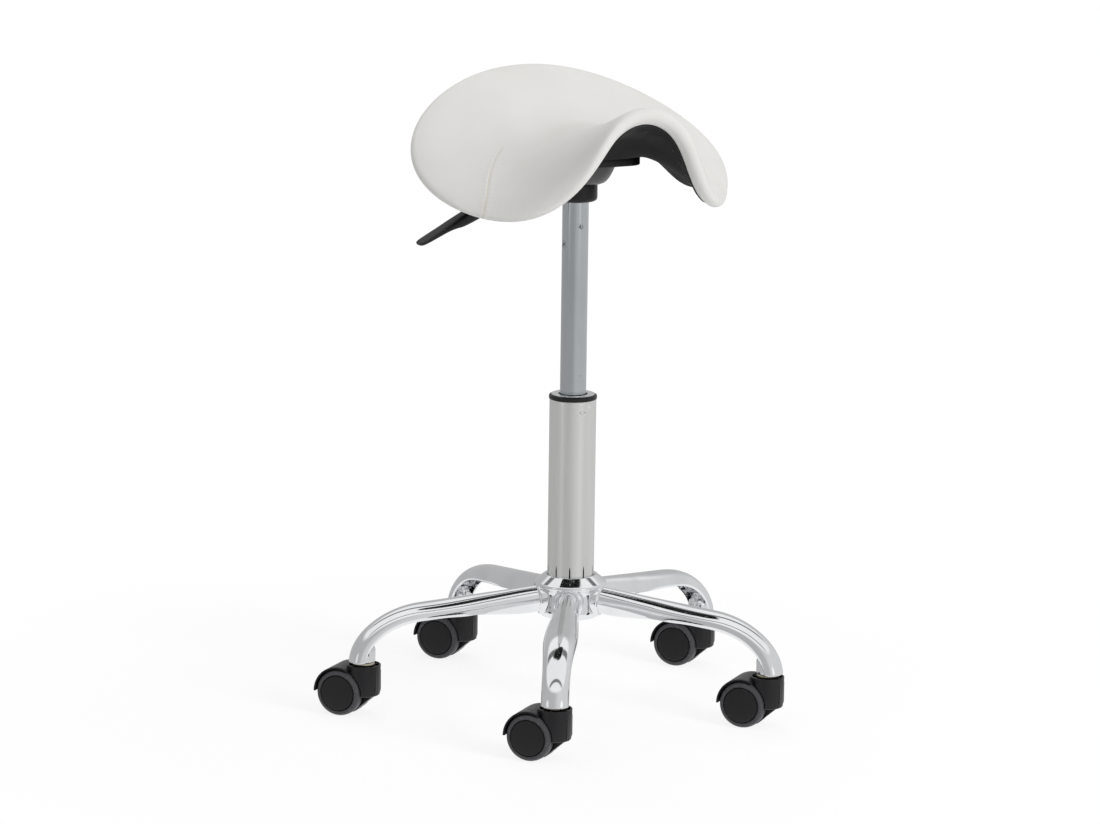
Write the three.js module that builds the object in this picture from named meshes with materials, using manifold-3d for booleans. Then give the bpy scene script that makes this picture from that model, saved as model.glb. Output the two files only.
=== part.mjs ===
// A saddle stool: a padded saddle seat on a gas lift, over a chromed five-arm base on twin-wheel casters.
// All sizes are in millimetres and +Z is up. The narrow front of the seat points along -Y, and the height
// lever is on the sitter's right, at -X. The stool is drawn round the axis of its column, and the last
// lines move it so that the origin is at the bottom centre of its box, on the floor.

import * as THREE from 'three';
import { mergeVertices } from 'three/addons/utils/BufferGeometryUtils.js';
import Module from 'manifold-3d';

const wasm = await Module();
wasm.setup();

// Clearances and smoothness
const fitGap = 0.3; // between pieces that touch or sit in one another
const runningGap = 0.15; // all round a shaft that turns in its hole
const cutPast = 1; // how far a cutting shape runs past the material that it cuts
const roundSides = 24; // flats round a large turned piece
const wheelSides = 16;
const socketSides = 12; // flats round a caster's socket
const smallSides = 12; // flats round a pin, a bolt or a stem

// Casters
const casterCount = 5;
const wheelRadius = 25; // tread radius, and so the height of the axle
const casterTrail = 22; // swivel axis to axle
const casterAngle = 128; // the way all five casters trail, in degrees from +X
const webWall = 1.07; // the housing's wall between the stem and the wheels
const wheelWidth = 15.8;
const wheelSideGap = 0.4; // web to wheel
const tyreDepth = 5.4; // thickness of the tyre on the wheel
const tyreInset = 1.9; // the wheel's inner face to the tyre
const tyreEdge = 2.4; // the bevel along the tread
const capDome = 1.9; // how far the hub cap bulges
const capShoulder = [0.65, 0.2]; // shares of the cap's radius and of its dome, where the bulge flattens
const tyreFaceDrop = 0.7; // the tyre's outer face under the cap's middle, as a share of the dome
const axleRadius = 3;
const axleEndInset = 6; // how far the axle stops short of the wheel's outer face
const rimOverHood = 2.1; // the rim of the caster's socket above the top of the hood
const socketRadius = 18;
const socketTaper = 0.8; // the socket is this much slimmer at its foot
const socketFoot = 22; // floor to the foot of the socket
const dishDepth = 3.2; // the open dish in the top of the socket
const dishWall = 1.8;
const bossRadius = 8;
const hoodGap = 0.4; // the tread's corners to the flats of the hood
const hoodThickness = 1.8;
const hoodWidth = 39;
const hoodReach = 115; // the hood's arc over the wheels, in degrees from level
const webDiscRadius = 22.2; // the round foot of the web
const webFrontInset = 1; // the web's front inside the socket's
const webShoulder = 4; // the web's front ends this far above the socket's foot, and slopes back from there
const webSlopeReach = 20; // length of that slope along X
const webToe = [5, 8]; // where the slope ends over the floor, and how far it then curves to the wheels
const stemRadius = 5;
const stemGrip = 19; // length of the stem inside the housing

// Arms of the base
const armCircle = 226; // column axis to each swivel axis
const armAngle = -122.8; // the first arm, in degrees from +X
const neckGap = 3.2; // rim of the caster to the end of the arm
const armRootGap = 1.6; // column to the arm's root
const armRootRise = 35; // foot of the hub to the arm's top at its root
const armRootWidth = 25.5;
const armRootDepth = 29;
const armMidWidth = 35;
const armMidDepth = 16;
const armEndWidth = 29;
const armEndDepth = 15;
const armWall = 3;
const armTubeLength = 66; // the arm stays a round tube this far, then is pressed flat
const armKneeReach = 158; // column axis to where the arm starts to bend down
const armKneeDrop = 14; // root to knee
const armBendPower = 1.85; // the bend is an ellipse's quarter at 2, and flatter below it
const armOuterReach = 16.4; // swivel axis to the arm's outer face at its end
const armSocketRadius = 12;
const armSocketRoof = 4.2; // thickness of metal over the stem
const armSocketBevel = [6, 9.5]; // width and height of the slope that keeps the socket inside the arm's bend
const armFlattening = [0.3, 0.85]; // where the tube starts and ends to turn flat, as shares of its two stretches
const armCrownShare = 0.72; // the rounded crown's part of the depth, where the arm is flat
const armFootSpread = 1.6; // how square the arm's foot is there
const sleeveRadius = 8.2; // the grip sleeve on the stem
const sleeveHeight = 20.5;
const collarRadius = 11.5;
const sleeveBevel = [2, 1.5]; // the slope round the sleeve's top, as an inset and a height

// Hub and column
const hubBottom = 99;
const hubHeight = 46;
const hubFootRadius = 31;
const hubFootBevel = 5.5; // height of the slope round the foot
const hubWaistRadius = 33;
const hubFlangeRadius = 38.4;
const hubFlangeEdge = 2.6;
const hubFlangeRise = 9; // from the flange's edge up to the column
const hubFlangeUnder = 5; // height of the slope under the flange
const hubFlangeTop = 27.5; // radius where the flange's slope ends
const columnRadius = 25;
const columnWall = 1.5;
const columnInset = 3; // hub's foot to the tube's foot
const columnLength = 234;
const columnFloor = 3;
const creaseCount = 10; // pressed creases round the foot of the tube
const creaseLength = 14.5;
const creaseStraight = 0.55; // the share of a crease that is full depth
const creaseWidth = 1.3;
const creaseDepth = 0.7;
const creaseStart = 1; // the creases start this far under the hub's top
const creaseTip = 0.2; // half of a crease's width at its tip
const bushFlangeHeight = 5;
const bushFlangeOverhang = 0.7;
const bushEdge = 1; // the bevel round the bush
const bushLength = 66;

// Gas lift
const liftRadius = 14; // the pressure tube that carries the seat
const liftWall = 1.5;
const liftOverlap = 41; // length of the pressure tube inside the column, fully raised
const liftExposed = 208; // length that shows between the bush and the shroud
const liftEndCap = 3;
const liftTaper = 0.9;
const liftNeck = 2; // the taper starts this far under the pan
const liftShoulder = 2; // height of the slope under the end cap, inside the tube
const liftCapDepth = 6; // length of the button's guide under the end cap
const rodRadius = 5;
const rodTailRadius = 4; // the rod steps down to this to pass the bearing and the floor
const rodTail = 4.6; // the rod's end below the column's floor
const pistonHeight = 10;
const pistonGap = 0.8;
const bearingRadius = 15;
const bearingHeight = 7;
const bearingGroove = 1.4;
const clipRadius = 8;
const clipThickness = 1.6;
const clipGroove = 1;
const clipMouth = 3.2; // the gap in the ring
const buttonRadius = 4.2;
const buttonStand = 6.2; // the button above the top of the pressure tube
const buttonLength = 20;

// Seat mechanism
const shroudRadius = 23;
const shroudHeight = 18.5;
const shroudGap = 0.7; // all round the pressure tube
const shroudEdge = [[2.6, 0], [0.7, 1], [0, 3]]; // its chamfered foot, as insets and heights
const panWall = 2.5;
const panFloorRadius = 25;
const panEndInset = 12; // the plate's end to the pan's
const panRises = [2, 8, 18]; // heights of the dish's bends over its floor
const panFloorEdge = 2; // the bevel round the floor
const panCornerEase = 8; // how much the corners tighten from the floor to the opening
const earWidth = 10; // of the ears that hold the pivot pin, along X
const earTopDrop = 1; // top of the eye to the top of the ears
const eyeRoomGap = 0.8; // round the lever's eye
const panToBolt = 1.5; // the pan to the heads of the bolts
const taperSocketRadius = 18;
const taperSocketDrop = 7; // the socket below the pan's floor
const taperSocketRise = 17; // and above it
const liftTopDrop = 1; // top of the socket to the top of the pressure tube
const plateHalfWidth = 46;
const plateHalfLength = 68;
const plateCorner = 18;
const plateThickness = 3;
const plateRim = 10; // height of the plate's turned-down rim
const boltSideGap = 1; // a bolt's head to the plate's long rim
const boltEndGap = 8.5; // and to its short rim
const boltRadius = 4;
const boltHeadRadius = 6.5;
const boltHeadHeight = 5;
const boltLength = 9;
const boltHole = 0.4; // clearance round each bolt

// Lever
const pivotOffset = 24; // column axis to the lever's pivot
const pivotUnderButton = 2.2; // top of the button to the height of the pivot
const pivotPinRadius = 2.5;
const eyeRadius = 6;
const eyeHalfWidth = 6.4;
const earThickness = 2.5;
const leverRadius = 4;
const leverSlope = 24.5; // degrees below level
const leverReach = 104; // pivot to the end of the steel rod, measured along -X
const rodStart = 2; // pivot to the start of the rod, inside the eye
const rodEndRoom = 1; // the grip's socket past the rod's end
const tongueReach = 4; // the tongue past the column axis
const tongueInset = 1; // the tongue inside the eye's faces
const tongueThickness = 5.4;
const tongueRoom = 4.1; // tongue to plate
const gripStart = 84; // pivot to the grip, measured along -X
const gripLength = 78;
const gripWidth = 21;
const gripRootThickness = 13.5;
const gripTipThickness = 3.6;

// Seat
const seatFront = 141.7; // column axis to the front station
const seatRear = 114.6;
const frontRimThickness = 18.4;
const rearRimThickness = 16.8;
const centreRise = [71.4, 26.9, 19.2, 55.6]; // mid-surface over the plate at four even stations, rear to front
const droop = [0.44, 0.607, 1.34]; // how far the flaps turn down at the rear, middle and front, in radians
const bendRear = 246; // distance across over which the rear bends down
const bendFront = 126;
const halfSpan = [235.5, 186, 148.4, 93.5]; // half of the width along the surface at four even stations
const rearRoundness = 2.55;
const frontRoundness = 4.65;
const rearSweep = -25; // how far the flaps lean forward, per 150 mm across
const frontSweep = -21.5;
const padCrown = 7; // the pad is this much thicker in its middle
const seatLip = 9; // the cover's width under the rim
const shellThickness = 7;
const shellInset = 3; // the shell above the underside of the rim
const blockInset = 4; // plate's edge to the block above it
const blockRoof = [1, 0.6, 0.2]; // rings of the block's roof, as shares of its outline
const liningThickness = 1.2;
const liningMargin = 14; // width of the lining that lies on the shell
const liningOverPlate = 1.5; // the lining's inner edge past the plate's edge
const liningTuck = 0.1; // the share of the lining's margin that its outer edge is drawn in by
const liningSag = 0.9; // least drop from the shell to the lining between the plate and the margin

// Heights and places worked out from the sizes above
const degrees = Math.PI / 180;
const treadCorner = wheelRadius / Math.cos(Math.PI / wheelSides);
const wheelSpace = boreRadius(treadCorner, hoodGap, wheelSides);
const stemBore = boreRadius(stemRadius, runningGap, smallSides);
const webThickness = 2 * (stemBore + webWall);
const housingHeight = wheelRadius + wheelSpace + hoodThickness + rimOverHood;
const armEnd = housingHeight + neckGap;
const armStart = columnRadius + armRootGap;
const armRootTop = hubBottom + armRootRise;
const armSocketHeight = sleeveHeight + fitGap + armSocketRoof;
const columnBottom = hubBottom + columnInset;
const columnTop = columnBottom + columnLength;
const bearingTop = columnBottom + columnFloor + fitGap + bearingHeight;
const clipBottom = columnBottom - fitGap - clipThickness;
const bushTop = columnTop + fitGap + bushFlangeHeight;
const liftBottom = columnTop - liftOverlap;
const shroudBottom = bushTop + liftExposed;
const shroudTop = shroudBottom + shroudHeight;
const panBottom = shroudTop + fitGap;
const liftTop = panBottom + taperSocketRise - liftTopDrop;
const buttonTop = liftTop + buttonStand;
const tongueFoot = buttonTop + fitGap;
const pivotHeight = buttonTop - pivotUnderButton;
const plateUnder = tongueFoot + tongueThickness + tongueRoom;
const plateTop = plateUnder + plateThickness;
const panDepth = plateUnder - panBottom;
const boltX = plateHalfWidth - plateThickness - boltSideGap - boltHeadRadius;
const boltY = plateHalfLength - plateThickness - boltEndGap - boltHeadRadius;
const boltTip = plateUnder - fitGap + boltLength;
const panHalfWidth = boltX - boltHeadRadius - panToBolt;
const panHalfLength = plateHalfLength - panEndInset;
const wheelInner = webThickness / 2 + wheelSideGap;
const wheelOuter = wheelInner + wheelWidth;
const axleHalf = wheelOuter - axleEndInset;
const coreRadius = wheelRadius - tyreDepth - fitGap;

// Finishes
function finish(color, roughness, metalness) {
  return new THREE.MeshStandardMaterial({ color, roughness, metalness });
}
const chrome = finish(0xd9dadb, 0.12, 1);
const satinSteel = finish(0xa9abad, 0.35, 1);
const zincSteel = finish(0xb8b8b4, 0.45, 0.9);
const blackPlastic = finish(0x252527, 0.5, 0);
const tyreGrey = finish(0x5c5c60, 0.6, 0);
const blackSteel = finish(0x1b1b1d, 0.4, 0.3);
const shellBlack = finish(0x303030, 0.8, 0);
const liningBlack = finish(0x2c2b2c, 0.95, 0);
const whiteCover = finish(0xe9e8e5, 0.45, 0);

// A geometry with positions only, its shared vertices merged and its collapsed triangles left out
function weld(geometry) {
  const bare = geometry.index ? geometry.toNonIndexed() : geometry.clone();
  for (const name of Object.keys(bare.attributes)) {
    if (name !== 'position') bare.deleteAttribute(name);
  }
  const merged = mergeVertices(bare, 1e-4);
  const index = merged.index.array;
  const kept = [];
  for (let i = 0; i < index.length; i += 3) {
    const [a, b, c] = [index[i], index[i + 1], index[i + 2]];
    if (a !== b && b !== c && c !== a) kept.push(a, b, c);
  }
  merged.setIndex(kept);
  return merged;
}

// Turns a closed geometry the right way out, going by the sign of its volume
function outward(geometry) {
  const p = geometry.attributes.position;
  const index = geometry.index.array;
  const [a, b, c] = [new THREE.Vector3(), new THREE.Vector3(), new THREE.Vector3()];
  let volume = 0;
  for (let i = 0; i < index.length; i += 3) {
    a.fromBufferAttribute(p, index[i]);
    b.fromBufferAttribute(p, index[i + 1]);
    c.fromBufferAttribute(p, index[i + 2]);
    volume += a.dot(b.cross(c));
  }
  if (volume < 0) {
    const flipped = [];
    for (let i = 0; i < index.length; i += 3) flipped.push(index[i], index[i + 2], index[i + 1]);
    geometry.setIndex(flipped);
  }
  return geometry;
}

// Solids that can be joined and cut
function solid(geometry) {
  const g = outward(weld(geometry));
  return new wasm.Manifold(new wasm.Mesh({
    numProp: 3,
    vertProperties: new Float32Array(g.attributes.position.array),
    triVerts: new Uint32Array(g.index.array),
  }));
}
function geometryOf(manifold) {
  const mesh = manifold.getMesh();
  const g = new THREE.BufferGeometry();
  g.setAttribute('position', new THREE.BufferAttribute(new Float32Array(mesh.vertProperties), 3));
  g.setIndex(Array.from(mesh.triVerts));
  return g;
}
function joined(first, ...others) {
  return others.reduce((sum, other) => sum.add(other), first);
}
function cut(first, ...others) {
  return others.reduce((rest, other) => rest.subtract(other), first);
}

// The corner radius of a hole whose flats clear a round shaft by a gap
function boreRadius(radius, gap, sides) {
  return (radius + gap) / Math.cos(Math.PI / sides);
}

// A turned piece round the Z axis, from a profile of [radius, height] points
function turned(profile, sides, closed = false) {
  const points = profile.map(([r, z]) => new THREE.Vector2(r, z));
  if (closed) points.push(points[0].clone());
  return outward(weld(new THREE.LatheGeometry(points, sides).rotateX(Math.PI / 2)));
}
function cylinder(radius, bottom, top, sides) {
  return turned([[0, bottom], [radius, bottom], [radius, top], [0, top]], sides);
}
function box(x0, x1, y0, y1, z0, z1) {
  const g = new THREE.BoxGeometry(x1 - x0, y1 - y0, z1 - z0);
  return g.translate((x0 + x1) / 2, (y0 + y1) / 2, (z0 + z1) / 2);
}

// A closed skin through rings of points; the ends get a fan each, or the last ring meets the first
// From the row turnFrom on, each panel is split along its other diagonal, as the far side of a thin wall needs
function loft(rings, looped = false, turnFrom = Infinity) {
  const sides = rings[0].length;
  const positions = [];
  for (const ring of rings) for (const p of ring) positions.push(p.x, p.y, p.z);
  const index = [];
  const last = looped ? rings.length : rings.length - 1;
  for (let r = 0; r < last; r++) {
    const next = (r + 1) % rings.length;
    for (let k = 0; k < sides; k++) {
      const k1 = (k + 1) % sides;
      const [a, b] = [r * sides + k, r * sides + k1];
      const [c, d] = [next * sides + k, next * sides + k1];
      if (r < turnFrom) index.push(a, b, d, a, d, c);
      else index.push(a, b, c, b, d, c);
    }
  }
  if (!looped) {
    for (const [r, flip] of [[0, true], [rings.length - 1, false]]) {
      const centre = new THREE.Vector3();
      for (const p of rings[r]) centre.addScaledVector(p, 1 / sides);
      const hub = positions.length / 3;
      positions.push(centre.x, centre.y, centre.z);
      for (let k = 0; k < sides; k++) {
        const [a, b] = [r * sides + k, r * sides + (k + 1) % sides];
        if (flip) index.push(hub, b, a);
        else index.push(hub, a, b);
      }
    }
  }
  const g = new THREE.BufferGeometry();
  g.setAttribute('position', new THREE.Float32BufferAttribute(positions, 3));
  g.setIndex(index);
  return outward(weld(g));
}

// A rounded rectangle as points [x, y], counter-clockwise from the middle of its +X side
function roundedRectangle(halfX, halfY, corner, perCorner) {
  const points = [];
  const corners = [[1, 1, 0], [-1, 1, 90], [-1, -1, 180], [1, -1, 270]];
  for (const [sx, sy, start] of corners) {
    for (let k = 0; k <= perCorner; k++) {
      const a = (start + (90 * k) / perCorner) * degrees;
      points.push([sx * (halfX - corner) + corner * Math.cos(a), sy * (halfY - corner) + corner * Math.sin(a)]);
    }
  }
  return points;
}
// The same outline with its long sides divided, so that it can follow a curved face
function divided(outline, longest) {
  return outline.flatMap(([x, y], i) => {
    const [nextX, nextY] = outline[(i + 1) % outline.length];
    const parts = Math.ceil(Math.hypot(nextX - x, nextY - y) / longest);
    return Array.from({ length: parts }, (_, k) => [x + ((nextX - x) * k) / parts, y + ((nextY - y) * k) / parts]);
  });
}
// Where the ray from the origin through a point crosses an outline round the origin
function crossing(outline, x, y) {
  let reach = 0;
  outline.forEach(([ax, ay], i) => {
    const [bx, by] = outline[(i + 1) % outline.length];
    const across = x * (by - ay) - y * (bx - ax);
    const part = (x * -ay + y * ax) / across;
    const along = (ax * (by - ay) - ay * (bx - ax)) / across;
    if (part >= 0 && part <= 1 && along > 0) reach = along;
  });
  return [x * reach, y * reach];
}
function prism(outline, bottom, top) {
  return loft([bottom, top].map((z) => outline.map(([x, y]) => new THREE.Vector3(x, y, z))));
}

const stool = new THREE.Group();
function add(parent, name, geometry, material) {
  const mesh = new THREE.Mesh(geometry, material);
  mesh.name = name;
  parent.add(mesh);
  return mesh;
}

// Caster housing, drawn with the swivel axis at the origin, the wheels trailing along +X and the axle
// along Y: a socket for the stem, a hood over the wheels and a web between them
function casterHousing() {
  const hoodRadius = wheelSpace + hoodThickness;
  const axle = [casterTrail, wheelRadius];
  function slab(shape, width) {
    const g = new THREE.ExtrudeGeometry(shape, { depth: width, bevelEnabled: false, curveSegments: 3 });
    return solid(g.translate(0, 0, -width / 2).rotateX(Math.PI / 2));
  }
  const front = -socketRadius + webFrontInset;
  const dishFloor = housingHeight - dishDepth;
  const webTop = dishFloor - dishWall;
  const discFoot = axle[1] - webDiscRadius;
  const slopeEnd = front + webSlopeReach;
  const web = new THREE.Shape();
  web.moveTo(front, webTop);
  web.lineTo(front, socketFoot + webShoulder);
  web.lineTo(slopeEnd, discFoot + webToe[0]);
  web.quadraticCurveTo(slopeEnd + webToe[1] / 2, discFoot, slopeEnd + webToe[1], discFoot);
  web.lineTo(axle[0], discFoot);
  web.absarc(axle[0], axle[1], webDiscRadius, -Math.PI / 2, 0, false);
  web.lineTo(axle[0] + hoodRadius, axle[1]);
  web.absarc(axle[0], axle[1], hoodRadius, 0, Math.PI / 2, false);
  web.lineTo(0, webTop);
  const hood = new THREE.Shape();
  hood.moveTo(axle[0], axle[1]);
  hood.lineTo(axle[0] + hoodRadius, axle[1]);
  hood.absarc(axle[0], axle[1], hoodRadius, 0, hoodReach * degrees, false);
  const body = joined(
    solid(turned([
      [0, socketFoot],
      [socketRadius - socketTaper, socketFoot],
      [socketRadius, housingHeight],
      [0, housingHeight],
    ], socketSides)),
    slab(web, webThickness),
    slab(hood, hoodWidth),
  );
  const dishRadius = socketRadius - dishWall;
  const dish = turned([
    [bossRadius, dishFloor],
    [dishRadius, dishFloor],
    [dishRadius, housingHeight + cutPast],
    [0, housingHeight + cutPast],
    [0, housingHeight],
    [bossRadius, housingHeight],
  ], socketSides, true);
  const stemHole = cylinder(stemBore, housingHeight - stemGrip - fitGap, housingHeight, smallSides);
  const spaces = [1, -1].map((side) => {
    const g = cylinder(wheelSpace, webThickness / 2, webThickness / 2 + 2 * wheelWidth, wheelSides);
    return solid(g.rotateX(side * -Math.PI / 2).translate(axle[0], 0, axle[1]));
  });
  const axleHole = cylinder(boreRadius(axleRadius, runningGap, smallSides), -webThickness, webThickness, smallSides);
  axleHole.rotateX(-Math.PI / 2).translate(axle[0], 0, axle[1]);
  return geometryOf(cut(body, solid(dish), solid(stemHole), ...spaces, solid(axleHole)));
}

// One wheel: its core with a domed hub cap, and the tyre on it. Both are drawn round Z with the
// caster's middle at z = 0 and the outer face upwards
function wheelCore() {
  const bore = boreRadius(axleRadius, runningGap, smallSides);
  return turned([
    [0, axleHalf + fitGap],
    [bore, axleHalf + fitGap],
    [bore, wheelInner],
    [coreRadius, wheelInner],
    [coreRadius, wheelOuter - capDome],
    [coreRadius * capShoulder[0], wheelOuter - capDome * capShoulder[1]],
    [0, wheelOuter],
  ], wheelSides).rotateZ(Math.PI / wheelSides);
}
function tyre() {
  const inner = wheelRadius - tyreDepth;
  const innerFace = wheelInner + tyreInset;
  const outerFace = wheelOuter - capDome * tyreFaceDrop;
  return turned([
    [inner, innerFace],
    [treadCorner, innerFace],
    [treadCorner, outerFace - tyreEdge],
    [treadCorner - tyreEdge, outerFace],
    [inner, outerFace],
  ], wheelSides, true).rotateZ(Math.PI / wheelSides);
}
function stem() {
  return turned([
    [0, housingHeight - stemGrip],
    [stemRadius, housingHeight - stemGrip],
    [stemRadius, housingHeight + fitGap],
    [collarRadius, housingHeight + fitGap],
    [collarRadius, armEnd - fitGap],
    [sleeveRadius, armEnd - fitGap],
    [sleeveRadius, armEnd + sleeveHeight - sleeveBevel[1]],
    [sleeveRadius - sleeveBevel[0], armEnd + sleeveHeight],
    [0, armEnd + sleeveHeight],
  ], smallSides);
}

// One arm, drawn along +X: a round tube at the hub, pressed flat into a crescent and bent down to a
// socket for the caster's stem
function arm() {
  const outerEnd = armCircle + armOuterReach;
  const kneeHeight = armRootTop - armKneeDrop;
  const tubeEnd = armStart + armTubeLength;
  const channelStart = (tubeEnd + armKneeReach) / 2;
  const mix = THREE.MathUtils.lerp;
  const straight = [armStart, (armStart + tubeEnd) / 2, tubeEnd, channelStart, armKneeReach].map((x) => {
    const fall = (x - armStart) / (armKneeReach - armStart);
    return new THREE.Vector3(x, 0, armRootTop - armKneeDrop * fall);
  });
  const bend = [20, 38, 56, 74, 90].map((angle) => new THREE.Vector3(
    mix(armKneeReach, outerEnd, Math.sin(angle * degrees) ** (2 / armBendPower)),
    0,
    mix(armEnd, kneeHeight, Math.max(Math.cos(angle * degrees), 0) ** (2 / armBendPower)),
  ));
  const crownLine = [...straight, ...bend];
  const last = crownLine.length - 1;
  function sectionAt(k) {
    const p = crownLine[k];
    const tangent = crownLine[Math.min(k + 1, last)].clone().sub(crownLine[Math.max(k - 1, 0)]).normalize();
    if (k === 0) tangent.set(1, 0, 0);
    if (k === last) tangent.set(0, 0, -1);
    const up = new THREE.Vector3(-tangent.z, 0, tangent.x);
    const flat = THREE.MathUtils.smoothstep(
      p.x, mix(armStart, tubeEnd, armFlattening[0]), mix(tubeEnd, armKneeReach, armFlattening[1]));
    const end = THREE.MathUtils.smoothstep(p.x, armKneeReach, armCircle);
    const width = mix(mix(armRootWidth, armMidWidth, flat), armEndWidth, end);
    const depth = mix(mix(armRootDepth, armMidDepth, flat), armEndDepth, end);
    return { p, up, width, depth, flat };
  }
  // Outline of a section: a rounded crown, and a foot that turns from round to level
  function ring(section, inset, drop) {
    const { p, up, width, depth, flat } = section;
    const half = width / 2 - inset;
    const crownHeight = mix(depth / 2, Math.min(depth * armCrownShare, width / 2), flat) - inset;
    const shoulder = depth - 2 * inset - crownHeight;
    const points = [];
    for (let i = 0; i <= 6; i++) {
      const a = (i / 6) * Math.PI;
      points.push([half * Math.cos(a), -inset - crownHeight + crownHeight * Math.sin(a)]);
    }
    const foot = shoulder + drop;
    for (let i = 1; i < 4; i++) {
      const a = Math.PI + (i / 4) * Math.PI;
      const round = [half * Math.cos(a), -inset - crownHeight + shoulder * Math.sin(a)];
      const level = [half * THREE.MathUtils.clamp(armFootSpread * Math.cos(a), -1, 1), -inset - crownHeight - foot];
      points.push([mix(round[0], level[0], flat), mix(round[1], level[1], flat)]);
    }
    return points.map(([t, h]) => new THREE.Vector3(p.x, t, p.z).addScaledVector(up, h));
  }
  const outside = [];
  const channel = [];
  const tube = [];
  for (let k = 0; k <= last; k++) {
    const section = sectionAt(k);
    outside.push(ring(section, 0, 0));
    if (section.p.x <= tubeEnd) tube.push(ring(section, armWall, 0));
    if (section.p.x >= channelStart) channel.push(ring(section, armWall, armMidDepth));
  }
  // The channel runs on past the arm's end, and the tube past its root
  const past = (rings, which, shift) => rings[which].map((p) => p.clone().add(shift));
  channel.push(past(channel, channel.length - 1, new THREE.Vector3(0, 0, -armWall)));
  tube.unshift(past(tube, 0, new THREE.Vector3(-armWall, 0, 0)));
  const socket = turned([
    [0, armEnd],
    [armSocketRadius, armEnd],
    [armSocketRadius, armEnd + armSocketHeight - armSocketBevel[1]],
    [armSocketRadius - armSocketBevel[0], armEnd + armSocketHeight],
    [0, armEnd + armSocketHeight],
  ], smallSides);
  const bore = cylinder(
    boreRadius(sleeveRadius, fitGap, smallSides), armEnd - cutPast, armEnd + sleeveHeight + fitGap, smallSides);
  const shell = cut(solid(loft(outside)), solid(loft(channel)), solid(loft(tube)));
  const whole = joined(shell, solid(socket.translate(armCircle, 0, 0)));
  return {
    geometry: geometryOf(cut(whole, solid(bore.translate(armCircle, 0, 0)))),
    // A cut that the root fits through, along the arm's first stretch
    rootHole: (gap) => {
      const root = ring(sectionAt(0), -gap, 0);
      const along = crownLine[1].clone().sub(crownLine[0]);
      return loft([-0.3, 1].map((share) => root.map((p) => p.clone().addScaledVector(along, share))));
    },
  };
}

const oneArm = arm();
const housingGeometry = casterHousing();
const coreGeometry = wheelCore();
const tyreGeometry = tyre();
const stemGeometry = stem();
const axleGeometry = cylinder(axleRadius, -axleHalf, axleHalf, smallSides);
for (let i = 0; i < casterCount; i++) {
  const angle = armAngle + (360 / casterCount) * i;
  const spoke = new THREE.Group();
  spoke.rotation.z = angle * degrees;
  stool.add(spoke);
  add(spoke, `arm_${i + 1}`, oneArm.geometry, chrome);

  const caster = new THREE.Group();
  caster.position.set(armCircle * Math.cos(angle * degrees), armCircle * Math.sin(angle * degrees), 0);
  caster.rotation.z = casterAngle * degrees;
  stool.add(caster);
  const name = `caster_${i + 1}`;
  add(caster, `${name}_housing`, housingGeometry, blackPlastic);
  add(caster, `${name}_stem`, stemGeometry, zincSteel);
  const axle = new THREE.Group();
  axle.position.set(casterTrail, 0, wheelRadius);
  caster.add(axle);
  add(axle, `${name}_axle`, axleGeometry, zincSteel).rotation.x = -Math.PI / 2;
  for (const [side, turn] of [['left', -1], ['right', 1]]) {
    add(axle, `${name}_wheel_${side}`, coreGeometry, blackPlastic).rotation.x = (turn * Math.PI) / 2;
    add(axle, `${name}_tyre_${side}`, tyreGeometry, tyreGrey).rotation.x = (turn * Math.PI) / 2;
  }
}

// Hub: a turned casting with a sloping top flange, bored for the column and for the five arms
function hub() {
  const top = hubBottom + hubHeight;
  const edge = top - hubFlangeRise;
  const body = solid(turned([
    [0, hubBottom],
    [hubFootRadius, hubBottom],
    [hubWaistRadius, hubBottom + hubFootBevel],
    [hubWaistRadius, edge - hubFlangeEdge - hubFlangeUnder],
    [hubFlangeRadius, edge - hubFlangeEdge],
    [hubFlangeRadius, edge],
    [hubFlangeTop, top],
    [0, top],
  ], roundSides));
  const bore = solid(cylinder(columnRadius + fitGap, hubBottom - cutPast, top + cutPast, roundSides));
  const roots = [];
  for (let i = 0; i < casterCount; i++) {
    roots.push(solid(oneArm.rootHole(fitGap).rotateZ((armAngle + (360 / casterCount) * i) * degrees)));
  }
  return geometryOf(cut(body, bore, ...roots));
}
add(stool, 'hub', hub(), chrome);

// Column: a tube with a floor that carries the lift, and pressed creases round its foot
function columnTube() {
  const inner = columnRadius - columnWall;
  const floorHole = rodTailRadius + 2 * fitGap;
  const tube = solid(turned([
    [floorHole, columnBottom],
    [columnRadius, columnBottom],
    [columnRadius, columnTop],
    [inner, columnTop],
    [inner, columnBottom + columnFloor],
    [floorHole, columnBottom + columnFloor],
  ], roundSides, true));
  const foot = hubBottom + hubHeight - creaseStart;
  const creases = [];
  for (let i = 0; i < creaseCount; i++) {
    const outer = columnRadius + cutPast;
    const deep = columnRadius - creaseDepth;
    const wedge = [[deep, 0], [outer, -creaseWidth], [outer, creaseWidth]];
    const tip = [[outer, 0], [outer + cutPast, -creaseTip], [outer + cutPast, creaseTip]];
    const rings = [[foot, wedge], [foot + creaseLength * creaseStraight, wedge], [foot + creaseLength, tip]];
    const g = loft(rings.map(([z, points]) => points.map(([x, y]) => new THREE.Vector3(x, y, z))));
    creases.push(solid(g.rotateZ(((i + 0.5) * 2 * Math.PI) / creaseCount)));
  }
  return geometryOf(cut(tube, ...creases));
}
add(stool, 'column_tube', columnTube(), chrome);

// Guide bush: a plastic sleeve in the top of the column, with a flange over its rim
function guideBush() {
  const bore = boreRadius(liftRadius, runningGap, roundSides);
  const sleeve = columnRadius - columnWall - fitGap;
  const flange = columnRadius + bushFlangeOverhang;
  const seat = columnTop + fitGap;
  return turned([
    [bore, columnTop - bushLength],
    [sleeve, columnTop - bushLength],
    [sleeve, seat],
    [flange, seat],
    [flange, bushTop - bushEdge],
    [flange - bushEdge, bushTop],
    [bore, bushTop],
  ], roundSides, true);
}
add(stool, 'guide_bush', guideBush(), blackPlastic);

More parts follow.
